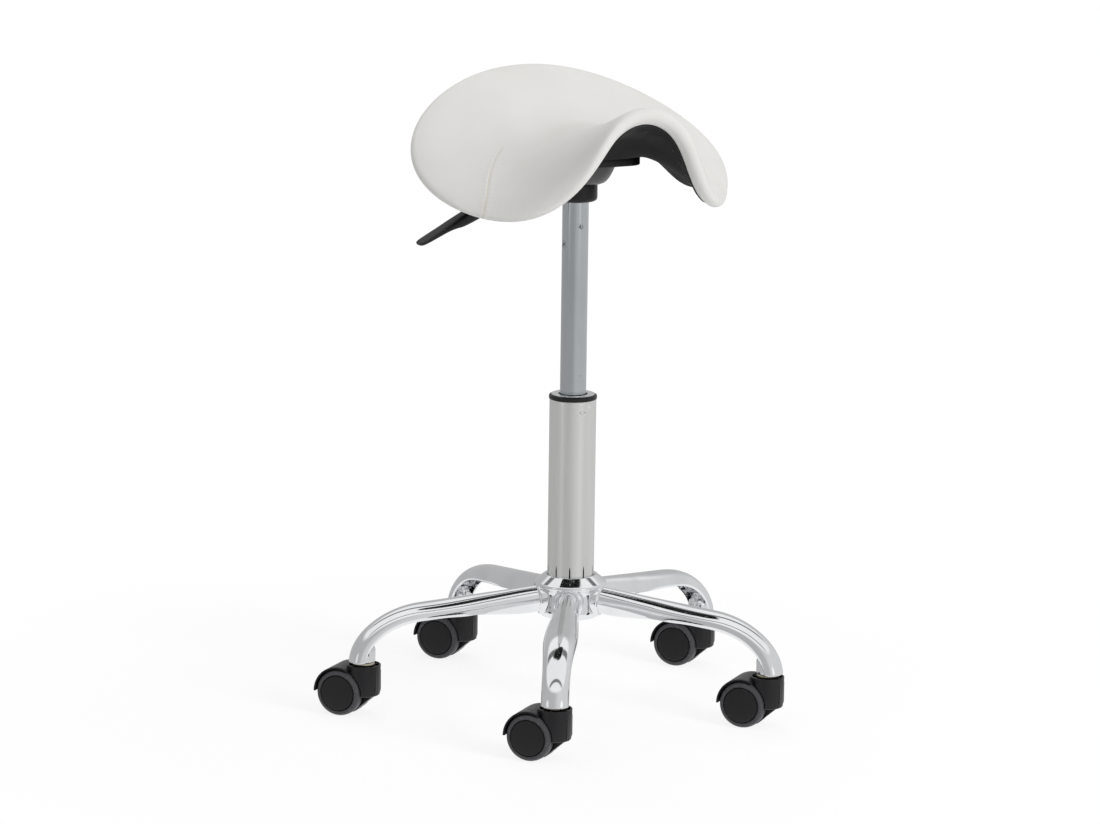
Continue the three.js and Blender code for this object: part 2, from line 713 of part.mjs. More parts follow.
// Gas lift: the pressure tube slides with the seat, and its rod stands on a thrust bearing
function pressureTube() {
  const rodHole = boreRadius(rodRadius, runningGap, roundSides);
  const pinHole = boreRadius(buttonRadius, runningGap, roundSides);
  const inner = liftRadius - liftWall;
  const neck = panBottom - liftNeck;
  return turned([
    [rodHole, liftBottom],
    [liftRadius, liftBottom],
    [liftRadius, neck],
    [liftRadius - liftTaper, liftTop],
    [pinHole, liftTop],
    [pinHole, liftTop - liftEndCap - liftCapDepth],
    [inner - liftTaper, liftTop - liftEndCap - liftCapDepth - liftShoulder],
    [inner, neck - liftCapDepth],
    [inner, liftBottom + liftEndCap],
    [rodHole, liftBottom + liftEndCap],
  ], roundSides, true);
}
add(stool, 'pressure_tube', pressureTube(), satinSteel);

function pistonRod() {
  const shoulder = bearingTop + fitGap;
  const head = liftBottom + liftEndCap + fitGap;
  const pistonRadius = liftRadius - liftWall - pistonGap;
  return turned([
    [0, columnBottom - rodTail],
    [rodTailRadius, columnBottom - rodTail],
    [rodTailRadius, clipBottom - fitGap],
    [rodTailRadius - clipGroove, clipBottom - fitGap],
    [rodTailRadius - clipGroove, columnBottom - fitGap / 2],
    [rodTailRadius, columnBottom - fitGap / 2],
    [rodTailRadius, shoulder],
    [rodRadius, shoulder],
    [rodRadius, head],
    [pistonRadius, head],
    [pistonRadius, head + pistonHeight],
    [0, head + pistonHeight],
  ], smallSides);
}
add(stool, 'piston_rod', pistonRod(), satinSteel);

function thrustBearing() {
  const bore = rodTailRadius + fitGap;
  const bottom = bearingTop - bearingHeight;
  const cage = bearingRadius - bearingGroove;
  const race = bearingHeight / 3;
  return turned([
    [bore, bottom],
    [bearingRadius, bottom],
    [bearingRadius, bottom + race],
    [cage, bottom + race],
    [cage, bearingTop - race],
    [bearingRadius, bearingTop - race],
    [bearingRadius, bearingTop],
    [bore, bearingTop],
  ], smallSides, true);
}
add(stool, 'thrust_bearing', thrustBearing(), zincSteel);

// Retaining clip: a split ring in the groove of the rod, under the column's floor
function retainingClip() {
  const inner = rodTailRadius - clipGroove + fitGap;
  const clipTop = clipBottom + clipThickness;
  const ring = solid(turned([
    [inner, clipBottom],
    [clipRadius, clipBottom],
    [clipRadius, clipTop],
    [inner, clipTop],
  ], smallSides, true));
  const mouth = box(
    0, clipRadius + cutPast, -clipMouth / 2, clipMouth / 2, clipBottom - cutPast, clipTop + cutPast);
  return geometryOf(cut(ring, solid(mouth)));
}
add(stool, 'retaining_clip', retainingClip(), blackSteel);

add(stool, 'release_button', cylinder(buttonRadius, buttonTop - buttonLength, buttonTop, roundSides), zincSteel);

// Shroud: a plastic collar that hides the taper socket
function shroud() {
  const low = liftRadius + shroudGap;
  const high = taperSocketRadius + fitGap;
  const shelf = panBottom - taperSocketDrop - fitGap;
  return turned([
    [low, shroudBottom],
    ...shroudEdge.map(([inset, rise]) => [shroudRadius - inset, shroudBottom + rise]),
    [shroudRadius, shroudTop],
    [high, shroudTop],
    [high, shelf],
    [low, shelf],
  ], roundSides, true);
}
add(stool, 'shroud', shroud(), blackPlastic);

// Mechanism pan: a pressed dish under the plate with the taper socket, and ears that hold the pivot pin
function mechanismPan() {
  const perCorner = 3;
  function ringAt(rise, inset) {
    const t = Math.sqrt(THREE.MathUtils.clamp(rise / panDepth, 0, 1));
    const halfX = THREE.MathUtils.lerp(Math.min(panFloorRadius, panHalfWidth), panHalfWidth, t) - inset;
    const halfY = THREE.MathUtils.lerp(panFloorRadius, panHalfLength, t) - inset;
    const corner = Math.min(halfX, halfY) - fitGap - t * panCornerEase;
    return roundedRectangle(halfX, halfY, corner, perCorner)
      .map(([x, y]) => new THREE.Vector3(x, y, panBottom + rise));
  }
  const top = panDepth - fitGap;
  const outside = [0, ...panRises, top].map((rise) => ringAt(rise, rise === 0 ? panFloorEdge : 0));
  const inside = [panWall, ...panRises.slice(1), panDepth + cutPast].map((rise) => ringAt(rise, panWall));
  const socketTop = panBottom + taperSocketRise;
  const socket = solid(cylinder(taperSocketRadius, panBottom - taperSocketDrop, socketTop, roundSides));
  const neck = panBottom - liftNeck;
  const taper = solid(turned([
    [0, panBottom - taperSocketDrop - cutPast],
    [liftRadius + fitGap, panBottom - taperSocketDrop - cutPast],
    [liftRadius + fitGap, neck],
    [liftRadius + fitGap - liftTaper, liftTop],
    [liftRadius + fitGap - liftTaper, socketTop + cutPast],
    [0, socketTop + cutPast],
  ], roundSides));
  const earInner = eyeHalfWidth + fitGap;
  const earTop = pivotHeight + eyeRadius - earTopDrop;
  const earBox = (side) => box(
    -pivotOffset - earWidth / 2, -pivotOffset + earWidth / 2,
    side > 0 ? earInner : -earInner - earThickness, side > 0 ? earInner + earThickness : -earInner,
    panBottom + fitGap, earTop);
  const pin = cylinder(pivotPinRadius, -earInner - earThickness / 2, earInner + earThickness / 2, smallSides);
  pin.rotateX(-Math.PI / 2).translate(-pivotOffset, 0, pivotHeight);
  const slot = box(
    -panHalfWidth - cutPast, -pivotOffset + eyeRadius + eyeRoomGap, -earInner, earInner,
    panBottom - cutPast, plateUnder + cutPast);
  const dish = cut(solid(loft(outside)), solid(loft(inside)), solid(slot));
  const pan = cut(joined(dish, solid(earBox(1)), solid(earBox(-1)), socket), taper);
  const eyeRoom = cylinder(eyeRadius + eyeRoomGap, -earInner, earInner, smallSides);
  eyeRoom.rotateX(-Math.PI / 2).translate(-pivotOffset, 0, pivotHeight);
  const tongueRoom = box(-pivotOffset, liftRadius, -earInner, earInner, liftTop + fitGap, plateUnder);
  return geometryOf(joined(cut(pan, solid(eyeRoom), solid(tongueRoom)), solid(pin)));
}
add(stool, 'mechanism_pan', mechanismPan(), blackSteel);

// Mounting plate: pressed steel with a turned-down rim and four bolt holes
const boltPlaces = [[1, 1], [-1, 1], [-1, -1], [1, -1]].map(([x, y]) => [x * boltX, y * boltY]);
function mountPlate() {
  const outer = prism(roundedRectangle(plateHalfWidth, plateHalfLength, plateCorner, 6), plateTop - plateRim, plateTop);
  const inset = plateThickness;
  const inner = prism(
    roundedRectangle(plateHalfWidth - inset, plateHalfLength - inset, plateCorner - inset, 6),
    plateTop - plateRim - cutPast, plateUnder);
  const holes = boltPlaces.map(([x, y]) => solid(
    cylinder(boreRadius(boltRadius, boltHole, smallSides), plateUnder - cutPast, plateTop + cutPast, smallSides)
      .translate(x, y, 0)));
  return geometryOf(cut(solid(outer), solid(inner), ...holes));
}
add(stool, 'mount_plate', mountPlate(), blackSteel);

boltPlaces.forEach(([x, y], i) => {
  const head = plateUnder - fitGap;
  const profile = [
    [0, head - boltHeadHeight],
    [boltHeadRadius, head - boltHeadHeight],
    [boltHeadRadius, head],
    [boltRadius, head],
    [boltRadius, boltTip],
    [0, boltTip],
  ];
  const bolt = add(stool, `seat_bolt_${i + 1}`, turned(profile, smallSides), zincSteel);
  bolt.position.set(x, y, 0);
});

// Lever: a steel rod with an eye on the pivot and a tongue over the release button, and a plastic grip
const leverDrop = Math.tan(leverSlope * degrees);
function leverAt(reach) {
  return new THREE.Vector3(-pivotOffset - reach, 0, pivotHeight - reach * leverDrop);
}
function bar(from, to, radius, sides) {
  const along = to.clone().sub(from);
  const g = cylinder(radius, 0, along.length(), sides);
  g.applyQuaternion(new THREE.Quaternion().setFromUnitVectors(new THREE.Vector3(0, 0, 1), along.normalize()));
  return g.translate(from.x, from.y, from.z);
}
function leverRod() {
  const eye = cylinder(eyeRadius, -eyeHalfWidth, eyeHalfWidth, roundSides);
  eye.rotateX(-Math.PI / 2).translate(-pivotOffset, 0, pivotHeight);
  const hole = cylinder(boreRadius(pivotPinRadius, runningGap, smallSides), -eyeHalfWidth - cutPast, eyeHalfWidth + cutPast, smallSides);
  hole.rotateX(-Math.PI / 2).translate(-pivotOffset, 0, pivotHeight);
  const tongue = box(
    -pivotOffset + tongueInset, tongueReach, -eyeHalfWidth + tongueInset, eyeHalfWidth - tongueInset,
    tongueFoot, tongueFoot + tongueThickness);
  const rod = bar(leverAt(rodStart), leverAt(leverReach), leverRadius, smallSides);
  return geometryOf(cut(joined(solid(eye), solid(tongue), solid(rod)), solid(hole)));
}
add(stool, 'lever_rod', leverRod(), blackSteel);

function leverGrip() {
  const slope = new THREE.Vector3(-1, 0, -leverDrop).normalize();
  const up = new THREE.Vector3(-slope.z, 0, slope.x).negate();
  const start = leverAt(gripStart);
  // Distance along the grip, width, height above its middle line and depth below it, each as a share
  const outline = [
    [0, 0.72, 0.92, 0.92],
    [0.03, 0.8, 1, 1],
    [0.22, 0.86, 1, 1],
    [0.4, 0.94, 0.82, 0.72],
    [0.5, 1, 0.68, 0.3],
    [0.62, 1, 0.5, -0.04],
    [0.8, 1, 0.3, -0.1],
    [0.93, 0.92, 0.16, -0.1],
    [0.985, 0.7, 0.08, -0.1],
    [1, 0.4, 0, -0.12],
  ];
  const tip = gripTipThickness / 2;
  const root = gripRootThickness / 2;
  const rings = outline.map(([t, wide, above, below]) => {
    const centre = start.clone().addScaledVector(slope, t * gripLength / Math.cos(leverSlope * degrees));
    const points = [];
    for (let i = 0; i < 12; i++) {
      const a = (i / 12) * 2 * Math.PI;
      const [c, s] = [Math.cos(a), Math.sin(a)];
      const squarish = (v) => Math.sign(v) * Math.sqrt(Math.abs(v));
      const height = s > 0 ? tip + (root - tip) * above : tip + (root - tip) * below;
      const p = centre.clone().addScaledVector(up, squarish(s) * height);
      p.y += squarish(c) * (gripWidth / 2) * wide;
      points.push(p);
    }
    return points;
  });
  const socket = bar(
    leverAt(gripStart - cutPast), leverAt(leverReach + rodEndRoom), leverRadius + fitGap, smallSides);
  return geometryOf(cut(solid(loft(rings)), solid(socket)));
}
add(stool, 'lever_grip', leverGrip(), blackPlastic);

// Saddle form: the seat's mid-surface, by distance s across from the centre line and station y
const seatLength = seatFront + seatRear;
function throughFour(values, t) {
  const at = [0, 1 / 3, 2 / 3, 1];
  let sum = 0;
  for (let i = 0; i < 4; i++) {
    let weight = 1;
    for (let j = 0; j < 4; j++) if (j !== i) weight *= (t - at[j]) / (at[i] - at[j]);
    sum += values[i] * weight;
  }
  return sum;
}
function throughThree([a, b, c], t) {
  return a * (1 - t) * (1 - 2 * t) + b * 4 * t * (1 - t) + c * t * (2 * t - 1);
}
function stationShare(y) {
  return (seatRear - y) / seatLength;
}
function midSurface(s, y) {
  const t = stationShare(y);
  const turn = throughThree(droop, t);
  const bend = THREE.MathUtils.lerp(bendRear, bendFront, t);
  const steps = 24;
  let [x, drop] = [0, 0];
  for (let k = 0; k < steps; k++) {
    const r = Math.min((Math.abs(s) * (k + 0.5)) / steps / bend, 1);
    const slope = turn * r * (2 - r);
    x += Math.cos(slope) * Math.abs(s) / steps;
    drop += Math.sin(slope) * Math.abs(s) / steps;
  }
  const lean = (s / 150) ** 2 * THREE.MathUtils.lerp(rearSweep, frontSweep, t);
  return new THREE.Vector3(Math.sign(s) * x, y + lean, plateTop + throughFour(centreRise, t) - drop);
}
function surfaceNormal(s, y) {
  const h = 0.5;
  const across = midSurface(s + h, y).sub(midSurface(s - h, y));
  const along = midSurface(s, y + h).sub(midSurface(s, y - h));
  return across.cross(along).normalize();
}
function seatPoint(s, y, height) {
  return midSurface(s, y).addScaledVector(surfaceNormal(s, y), height);
}

// Heights of the pad's and the shell's faces over the mid-surface, at a station
function rimHalf(y) {
  return THREE.MathUtils.lerp(rearRimThickness, frontRimThickness, stationShare(y)) / 2;
}
const rimTop = (y) => rimHalf(y);
const rimFoot = (y) => -rimHalf(y);
const shellFoot = (y) => shellInset - rimHalf(y);
const shellMiddle = (y) => shellFoot(y) + shellThickness / 2;
const shellTop = (y) => shellFoot(y) + shellThickness;
const recessRoof = (y) => shellTop(y) + fitGap;
const liningTop = (y) => shellFoot(y) - fitGap;

// The point on one of those faces that has a given x and y
function faceOver(x, y, face) {
  let [s, station] = [x, y];
  let p = seatPoint(s, station, face(station));
  for (let k = 0; k < 12; k++) {
    s += x - p.x;
    station += y - p.y;
    p = seatPoint(s, station, face(station));
  }
  return new THREE.Vector3(x, y, p.z);
}

// Outline of the seat in (s, y), as points spread evenly along it
const outlinePoints = 48;
function seatOutline() {
  const dense = [];
  const fine = 720;
  for (let i = 0; i < fine; i++) {
    const a = (i / fine) * 2 * Math.PI;
    const t = 0.5 - 0.5 * Math.cos(a);
    const rear = Math.max(1 - Math.max(1 - 2 * t, 0) ** rearRoundness, 0) ** (1 / rearRoundness);
    const front = Math.max(1 - Math.max(2 * t - 1, 0) ** frontRoundness, 0) ** (1 / frontRoundness);
    const half = throughFour(halfSpan, t) * rear * front;
    dense.push(new THREE.Vector2(a <= Math.PI ? half : -half, seatRear - seatLength * t));
  }
  const lengths = [0];
  for (let i = 0; i < fine; i++) lengths.push(lengths[i] + dense[i].distanceTo(dense[(i + 1) % fine]));
  const points = [];
  for (let k = 0; k < outlinePoints; k++) {
    const want = (lengths[fine] * k) / outlinePoints;
    const i = Math.max(lengths.findIndex((l) => l > want) - 1, 0);
    const part = (want - lengths[i]) / (lengths[i + 1] - lengths[i]);
    points.push(dense[i].clone().lerp(dense[(i + 1) % fine], part));
  }
  return points;
}
const rim = seatOutline();
const rimCentre = new THREE.Vector2(0, (seatRear - seatFront) / 2);

// The outline drawn in by a width, and a ring at a share of an outline's way out from the middle
function drawnIn(width) {
  return rim.map((p) => p.clone().lerp(rimCentre, width / p.distanceTo(rimCentre)));
}
function ringAt(outline, share, face) {
  return outline.map((p) => {
    const q = rimCentre.clone().lerp(p, share);
    return seatPoint(q.x, q.y, face(q.y));
  });
}

// Rings that the shell and the pad's recess share, from the lining's margin in to the middle
const marginLine = drawnIn(seatLip + liningMargin);
function innerRings(face) {
  return [1, 0.72, 0.4, 0.08].map((share) => ringAt(marginLine, share, face));
}

// Pad: foam and cover with a crown and a fully rounded rim that wraps round the shell's edge
function seatPad() {
  const rings = [0.08, 0.3, 0.55, 0.78, 0.92].map((share) => (
    ringAt(rim, share, (y) => rimTop(y) + padCrown * (1 - share ** 2))));
  const edge = ringAt(rim, 1, () => 0);
  const middle = midSurface(rimCentre.x, rimCentre.y);
  const rimSteps = 6;
  for (let k = 0; k <= rimSteps; k++) {
    const a = Math.PI / 2 - (Math.PI * k) / rimSteps;
    rings.push(edge.map((p, i) => {
      const before = edge[(i + outlinePoints - 1) % outlinePoints];
      const after = edge[(i + 1) % outlinePoints];
      const normal = surfaceNormal(rim[i].x, rim[i].y);
      const outwards = after.clone().sub(before).cross(normal).normalize();
      if (outwards.dot(p.clone().sub(middle)) < 0) outwards.negate();
      const half = rimHalf(rim[i].y);
      return p.clone().addScaledVector(outwards, half * Math.cos(a)).addScaledVector(normal, half * Math.sin(a));
    }));
  }
  const lip = drawnIn(seatLip);
  rings.push(ringAt(lip, 1, rimFoot), ringAt(lip, 1, recessRoof), ...innerRings(recessRoof));
  return loft(rings);
}
add(stool, 'seat_pad', seatPad(), whiteCover);

// Shell: moulded to the saddle form, with a block under its middle that the plate bolts to
function seatShell() {
  const edge = drawnIn(seatLip + 2 * fitGap);
  const lower = [...innerRings(shellFoot).reverse(), ringAt(edge, 1, shellFoot)];
  const upper = [ringAt(edge, 1, shellTop), ...innerRings(shellTop)];
  const blockFoot = plateTop + fitGap;
  const [halfX, halfY] = [plateHalfWidth - blockInset, plateHalfLength - blockInset];
  const outline = divided(roundedRectangle(halfX, halfY, plateCorner - blockInset, 2), 24);
  // The block's roof ends inside the shell
  const roof = blockRoof.map((share) => outline.map(([x, y]) => (
    faceOver(x * share, y * share, shellMiddle))));
  const block = loft([outline.map(([x, y]) => new THREE.Vector3(x, y, blockFoot)), ...roof]);
  const holes = boltPlaces.map(([x, y]) => solid(cylinder(
    boreRadius(boltRadius, fitGap, smallSides), blockFoot - cutPast, boltTip + fitGap, smallSides).translate(x, y, 0)));
  return geometryOf(cut(joined(solid(loft([...lower, ...upper])), solid(block)), ...holes));
}
add(stool, 'seat_shell', seatShell(), shellBlack);

// Lining: thin cloth stretched from the plate's edge out to the rim of the shell, under its hollow
function underLining() {
  const outerLine = drawnIn(seatLip + 2 * fitGap);
  const onShell = (height) => {
    const margin = ringAt(marginLine, 1, height);
    return [margin, ringAt(outerLine, 1, height).map((p, i) => p.lerp(margin[i], liningTuck))];
  };
  const plateEdge = roundedRectangle(
    plateHalfWidth + liningOverPlate, plateHalfLength + liningOverPlate, plateCorner + liningOverPlate, 6);
  const [margin, outer] = onShell(liningTop);
  const [marginFoot, outerFoot] = onShell((y) => liningTop(y) - liningThickness);
  const byPlate = margin.map((p) => {
    const [x, y] = crossing(plateEdge, p.x, p.y);
    return new THREE.Vector3(x, y, plateTop + fitGap);
  });
  const between = byPlate.map((p, i) => {
    const q = p.clone().lerp(margin[i], 0.5);
    return new THREE.Vector3(q.x, q.y, Math.min(q.z, faceOver(q.x, q.y, liningTop).z - liningSag));
  });
  // The cloth is equally thick all over: its lower face lies along the shell's own direction at the margin,
  // straight below at the plate, and halfway in between
  const down = new THREE.Vector3(0, 0, -liningThickness);
  const byPlateFoot = byPlate.map((p) => p.clone().add(down));
  const betweenFoot = between.map((p, i) => {
    const across = marginFoot[i].clone().sub(margin[i]).add(down).setLength(liningThickness);
    return p.clone().add(across);
  });
  const upper = [byPlate, between, margin, outer];
  return loft([...upper, outerFoot, marginFoot, betweenFoot, byPlateFoot], true, upper.length);
}
add(stool, 'under_lining', underLining(), liningBlack);

// Puts the origin at the bottom centre of the stool's box
const bounds = new THREE.Box3().setFromObject(stool, true);
stool.position.set(-(bounds.min.x + bounds.max.x) / 2, -(bounds.min.y + bounds.max.y) / 2, -bounds.min.z);
stool.updateMatrixWorld(true);

export default stool;
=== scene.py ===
"""Saddle stool: detailed pieces, finishes and a studio, built round the packed frame of the part.

Sizes are in millimetres round the axis of the column, with the floor at zero and the narrow front of
the seat towards -Y. A finished mesh is in metres in the frame of the packed part.
"""

import math

import bmesh
import bpy
import numpy as np
from mathutils import Matrix, Vector
from mathutils.bvhtree import BVHTree


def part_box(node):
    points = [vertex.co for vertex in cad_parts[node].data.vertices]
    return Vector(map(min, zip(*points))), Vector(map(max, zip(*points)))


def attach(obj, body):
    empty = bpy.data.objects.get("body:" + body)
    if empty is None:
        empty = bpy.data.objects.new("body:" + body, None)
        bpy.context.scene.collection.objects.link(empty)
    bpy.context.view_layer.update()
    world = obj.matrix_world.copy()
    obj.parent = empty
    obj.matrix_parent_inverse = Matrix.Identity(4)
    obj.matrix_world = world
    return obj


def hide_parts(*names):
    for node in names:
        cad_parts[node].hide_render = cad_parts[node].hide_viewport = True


bl_info = {
    "name": "Saddle Stool",
    "version": (1, 0, 0),
    "blender": (4, 5, 0),
    "location": "View3D > Sidebar > Stool",
    "description": "Builds the looks of a saddle stool round its packed frame",
    "category": "Object",
}

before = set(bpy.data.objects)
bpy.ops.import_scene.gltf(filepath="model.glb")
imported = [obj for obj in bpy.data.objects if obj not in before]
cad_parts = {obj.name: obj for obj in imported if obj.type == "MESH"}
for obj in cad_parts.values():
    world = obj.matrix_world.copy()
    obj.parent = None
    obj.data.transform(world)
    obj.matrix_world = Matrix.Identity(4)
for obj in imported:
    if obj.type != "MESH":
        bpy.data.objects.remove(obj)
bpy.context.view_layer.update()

MM = 0.001
TUBE_LOW, TUBE_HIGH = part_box("column_tube")
AXIS = np.array([(TUBE_LOW.x + TUBE_HIGH.x) / 2, (TUBE_LOW.y + TUBE_HIGH.y) / 2, 0.0])
CASTERS = range(1, 6)

# How far the photograph's camera stands round the column from the seat's front, in degrees
VIEW_TURN = -29.27

# The radius of the studio's floor, in metres
FLOOR_REACH = 1.5

# The gap between pieces that fit together
FIT = 0.3

# Points closer than this, in the units of the shape, are one point, and thinner faces go
SAME_PLACE = 1e-4
TOO_THIN = 1e-5


def tone(code):
    """A colour written as six hexadecimal digits, as linear red, green and blue."""
    shares = [int(code[i : i + 2], 16) / 255 for i in (0, 2, 4)]
    return tuple(c / 12.92 if c <= 0.04045 else ((c + 0.055) / 1.055) ** 2.4 for c in shares)


def tinted(colour, share, lift=0.0):
    """A colour made darker or paler: each of its parts times a share, and lifted."""
    return tuple(c * share + lift for c in colour)


# Shapes: a shape is a pair of points, in millimetres, and faces


def joined(*shapes):
    points, faces, start = [], [], 0
    for shape_points, shape_faces in shapes:
        points.append(np.asarray(shape_points, float).reshape(-1, 3))
        faces += [[start + i for i in face] for face in shape_faces]
        start += len(points[-1])
    return np.concatenate(points), faces


def moved(shape, turn=0.0, shift=(0, 0, 0)):
    """A shape turned round Z, in radians, and then shifted."""
    c, s = math.cos(turn), math.sin(turn)
    points = np.asarray(shape[0], float) @ np.array([[c, s, 0], [-s, c, 0], [0, 0, 1]])
    return points + np.array(shift, float), shape[1]


def skin(rings, looped=False, caps=True):
    """Quads between rings of as many points each; the end rings are closed with a face each."""
    rings = np.asarray(rings, float)
    count, sides = rings.shape[:2]
    faces = []
    for r in range(count if looped else count - 1):
        a, b = r * sides, ((r + 1) % count) * sides
        for k in range(sides):
            n = (k + 1) % sides
            faces.append([a + k, a + n, b + n, b + k])
    if caps and not looped:
        faces.append(list(range(sides))[::-1])
        faces.append([(count - 1) * sides + k for k in range(sides)])
    return rings.reshape(-1, 3), faces


def strip_caps(rings, sides):
    """Quads across the first and the last ring, which subdivide faster than one face with many sides."""
    end = (rings - 1) * sides
    half = range(sides // 2 - 1)
    first = [[sides - 1 - k, sides - 2 - k, k + 1, k] for k in half]
    return first + [[end + k, end + k + 1, end + sides - 2 - k, end + sides - 1 - k] for k in half]


def softened(profile, radius, steps=3, closed=False):
    """A profile whose corners are rounded; a corner may carry its own radius as a third value."""
    points = [np.array(p[:2], float) for p in profile]
    radii = [p[2] if len(p) > 2 else radius for p in profile]
    out = []
    for i, p in enumerate(points):
        if not closed and i in (0, len(points) - 1) or radii[i] == 0:
            out.append(p)
            continue
        before, after = points[i - 1] - p, points[(i + 1) % len(points)] - p
        cut = min(radii[i], 0.45 * np.linalg.norm(before), 0.45 * np.linalg.norm(after))
        a = p + before / np.linalg.norm(before) * cut
        b = p + after / np.linalg.norm(after) * cut
        for k in range(steps + 1):
            t = k / steps
            out.append(a * (1 - t) ** 2 + p * 2 * t * (1 - t) + b * t**2)
    return out


def ring_round(radius, height, angles):
    """A ring round Z at some angles; its radius may differ from angle to angle."""
    return np.stack([radius * np.cos(angles), radius * np.sin(angles), np.full(len(angles), height)], 1)


def turned(profile, sides=96, closed=False):
    """A shape turned round Z from [radius, height] points; a radius of zero makes a pole."""
    angles = np.arange(sides) * 2 * math.pi / sides
    return skin([ring_round(r, z, angles) for r, z in profile], looped=closed, caps=False)


def turned_ring(profile, radius=0.3, sides=96, steps=3):
    """A ring round Z from a closed profile whose corners are rounded."""
    return turned(softened(profile, radius, steps, closed=True), sides, closed=True)


def cylinder(radius, low, high, sides=32):
    return turned([(0, low), (radius, low), (radius, high), (0, high)], sides)


def slab(outline, low, high):
    """A flat outline of (x, z) points given thickness along Y."""
    outline = np.asarray(outline, float)
    rings = [np.stack([outline[:, 0], np.full(len(outline), y), outline[:, 1]], 1) for y in (low, high)]
    return skin(rings)


def block(low, high):
    (x0, y0, z0), (x1, y1, z1) = low, high
    return slab([(x0, z0), (x1, z0), (x1, z1), (x0, z1)], y0, y1)


def along_y(shape, centre, side=1):
    """A shape turned round Z, laid down so that its Z runs along Y, to one side or the other."""
    p = np.asarray(shape[0], float)
    return np.stack([p[:, 0], side * p[:, 2], p[:, 1]], 1) + np.array(centre, float), shape[1]


def arc(centre, radius, start, end, count):
    angles = np.radians(np.linspace(start, end, count))
    return [(centre[0] + radius * math.cos(a), centre[1] + radius * math.sin(a)) for a in angles]


def bow(start, control, end, count=8):
    t = np.linspace(0, 1, count)[:, None]
    start, control, end = (np.array(p, float) for p in (start, control, end))
    return list(start * (1 - t) ** 2 + control * 2 * t * (1 - t) + end * t**2)


def rounded_rectangle(half_x, half_y, corner, per_corner=10):
    points = []
    for sx, sy, start in ((1, 1, 0), (-1, 1, 90), (-1, -1, 180), (1, -1, 270)):
        centre = (sx * (half_x - corner), sy * (half_y - corner))
        points += arc(centre, corner, start, start + 90, per_corner)
    return np.array(points)


def at_height(outline, z):
    return np.column_stack([outline, np.full(len(outline), z)])


def through(keys, count):
    """A smooth curve through rows of numbers, by Catmull and Rom's rule, as count rows."""
    keys = np.asarray(keys, float)
    padded = np.vstack([2 * keys[0] - keys[1], keys, 2 * keys[-1] - keys[-2]])
    rows = []
    for place in np.linspace(0, len(keys) - 1, count):
        i = min(int(place), len(keys) - 2)
        t = place - i
        a, b, c, d = padded[i : i + 4]
        square, cube = 2 * a - 5 * b + 4 * c - d, 3 * b - a - 3 * c + d
        rows.append(0.5 * (2 * b + (c - a) * t + square * t**2 + cube * t**3))
    return np.array(rows)


def evenly(line, count, endpoint=True):
    """A line with its points spread evenly along itself."""
    lengths = np.concatenate([[0], np.cumsum(np.linalg.norm(np.diff(line, axis=0), axis=1))])
    want = np.linspace(0, lengths[-1], count, endpoint=endpoint)
    return np.stack([np.interp(want, lengths, column) for column in line.T], 1)


def eased(line, times):
    """A line whose inner points are drawn towards their neighbours a number of times."""
    line = np.array(line, float)
    for _ in range(times):
        line[1:-1] = 0.5 * line[1:-1] + 0.25 * (line[:-2] + line[2:])
    return line


def smoothstep(value, low, high):
    t = np.clip((np.asarray(value, float) - low) / (high - low), 0, 1)
    return t * t * (3 - 2 * t)


def trough(distance, width):
    """One where the distance is nought, falling away over a width."""
    return np.exp(-((distance / width) ** 2))


# Meshes and pieces


def mesh_of(shape, name="shape", scale=1.0, shift=(0, 0, 0)):
    """A mesh with its doubles merged and its normals outwards."""
    mesh = bpy.data.meshes.new(name)
    points = np.asarray(shape[0], float) * scale + np.array(shift)
    mesh.from_pydata(points.tolist(), [], [list(map(int, face)) for face in shape[1]])
    bm = bmesh.new()
    bm.from_mesh(mesh)
    bmesh.ops.remove_doubles(bm, verts=bm.verts, dist=SAME_PLACE * scale)
    bmesh.ops.dissolve_degenerate(bm, edges=bm.edges, dist=TOO_THIN * scale)
    bmesh.ops.recalc_face_normals(bm, faces=bm.faces)
    bm.to_mesh(mesh)
    bm.free()
    return mesh


def linked(name, mesh):
    obj = bpy.data.objects.new(name, mesh)
    bpy.context.scene.collection.objects.link(obj)
    return obj


def evaluated(obj):
    """The mesh of an object with its modifiers worked out."""
    bpy.context.view_layer.update()
    graph = bpy.context.evaluated_depsgraph_get()
    return bpy.data.meshes.new_from_object(obj.evaluated_get(graph), depsgraph=graph)


def shape_of(mesh):
    points = np.zeros(len(mesh.vertices) * 3)
    mesh.vertices.foreach_get("co", points)
    return points.reshape(-1, 3), [list(face.vertices) for face in mesh.polygons]


def carved(base, steps, bevel=0.0, angle=40):
    """A shape after a row of boolean steps, each a pair of an operation and a shape."""
    body = linked("carving", mesh_of(base))
    tools = []
    for operation, shape in steps:
        tool = linked("tool", mesh_of(shape))
        tools.append(tool)
        modifier = body.modifiers.new(operation, "BOOLEAN")
        modifier.operation = operation
        modifier.solver = "EXACT"
        modifier.object = tool
    if bevel:
        modifier = body.modifiers.new("edges", "BEVEL")
        modifier.width = bevel
        modifier.segments = 2
        modifier.limit_method = "ANGLE"
        modifier.angle_limit = math.radians(angle)
        modifier.use_clamp_overlap = True
    result = shape_of(evaluated(body))
    for obj in [body, *tools]:
        bpy.data.objects.remove(obj)
    return result


def shaded(mesh, angle=35):
    mesh.shade_smooth()
    mesh.set_sharp_from_angle(angle=math.radians(angle))


def piece(name, shape, finish, body, replaces=(), angle=35):
    """A shape as a finished object that rides on a body of the frame."""
    mesh = mesh_of(shape, name, MM, AXIS)
    return settle(linked(name, mesh), finish, body, replaces, angle)


def settle(obj, finish, body, replaces=(), angle=35):
    obj.data.materials.clear()
    obj.data.materials.append(finish)
    if angle:
        shaded(obj.data, angle)
    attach(obj, body)
    if replaces:
        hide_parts(*replaces)
    return obj


# Node trees


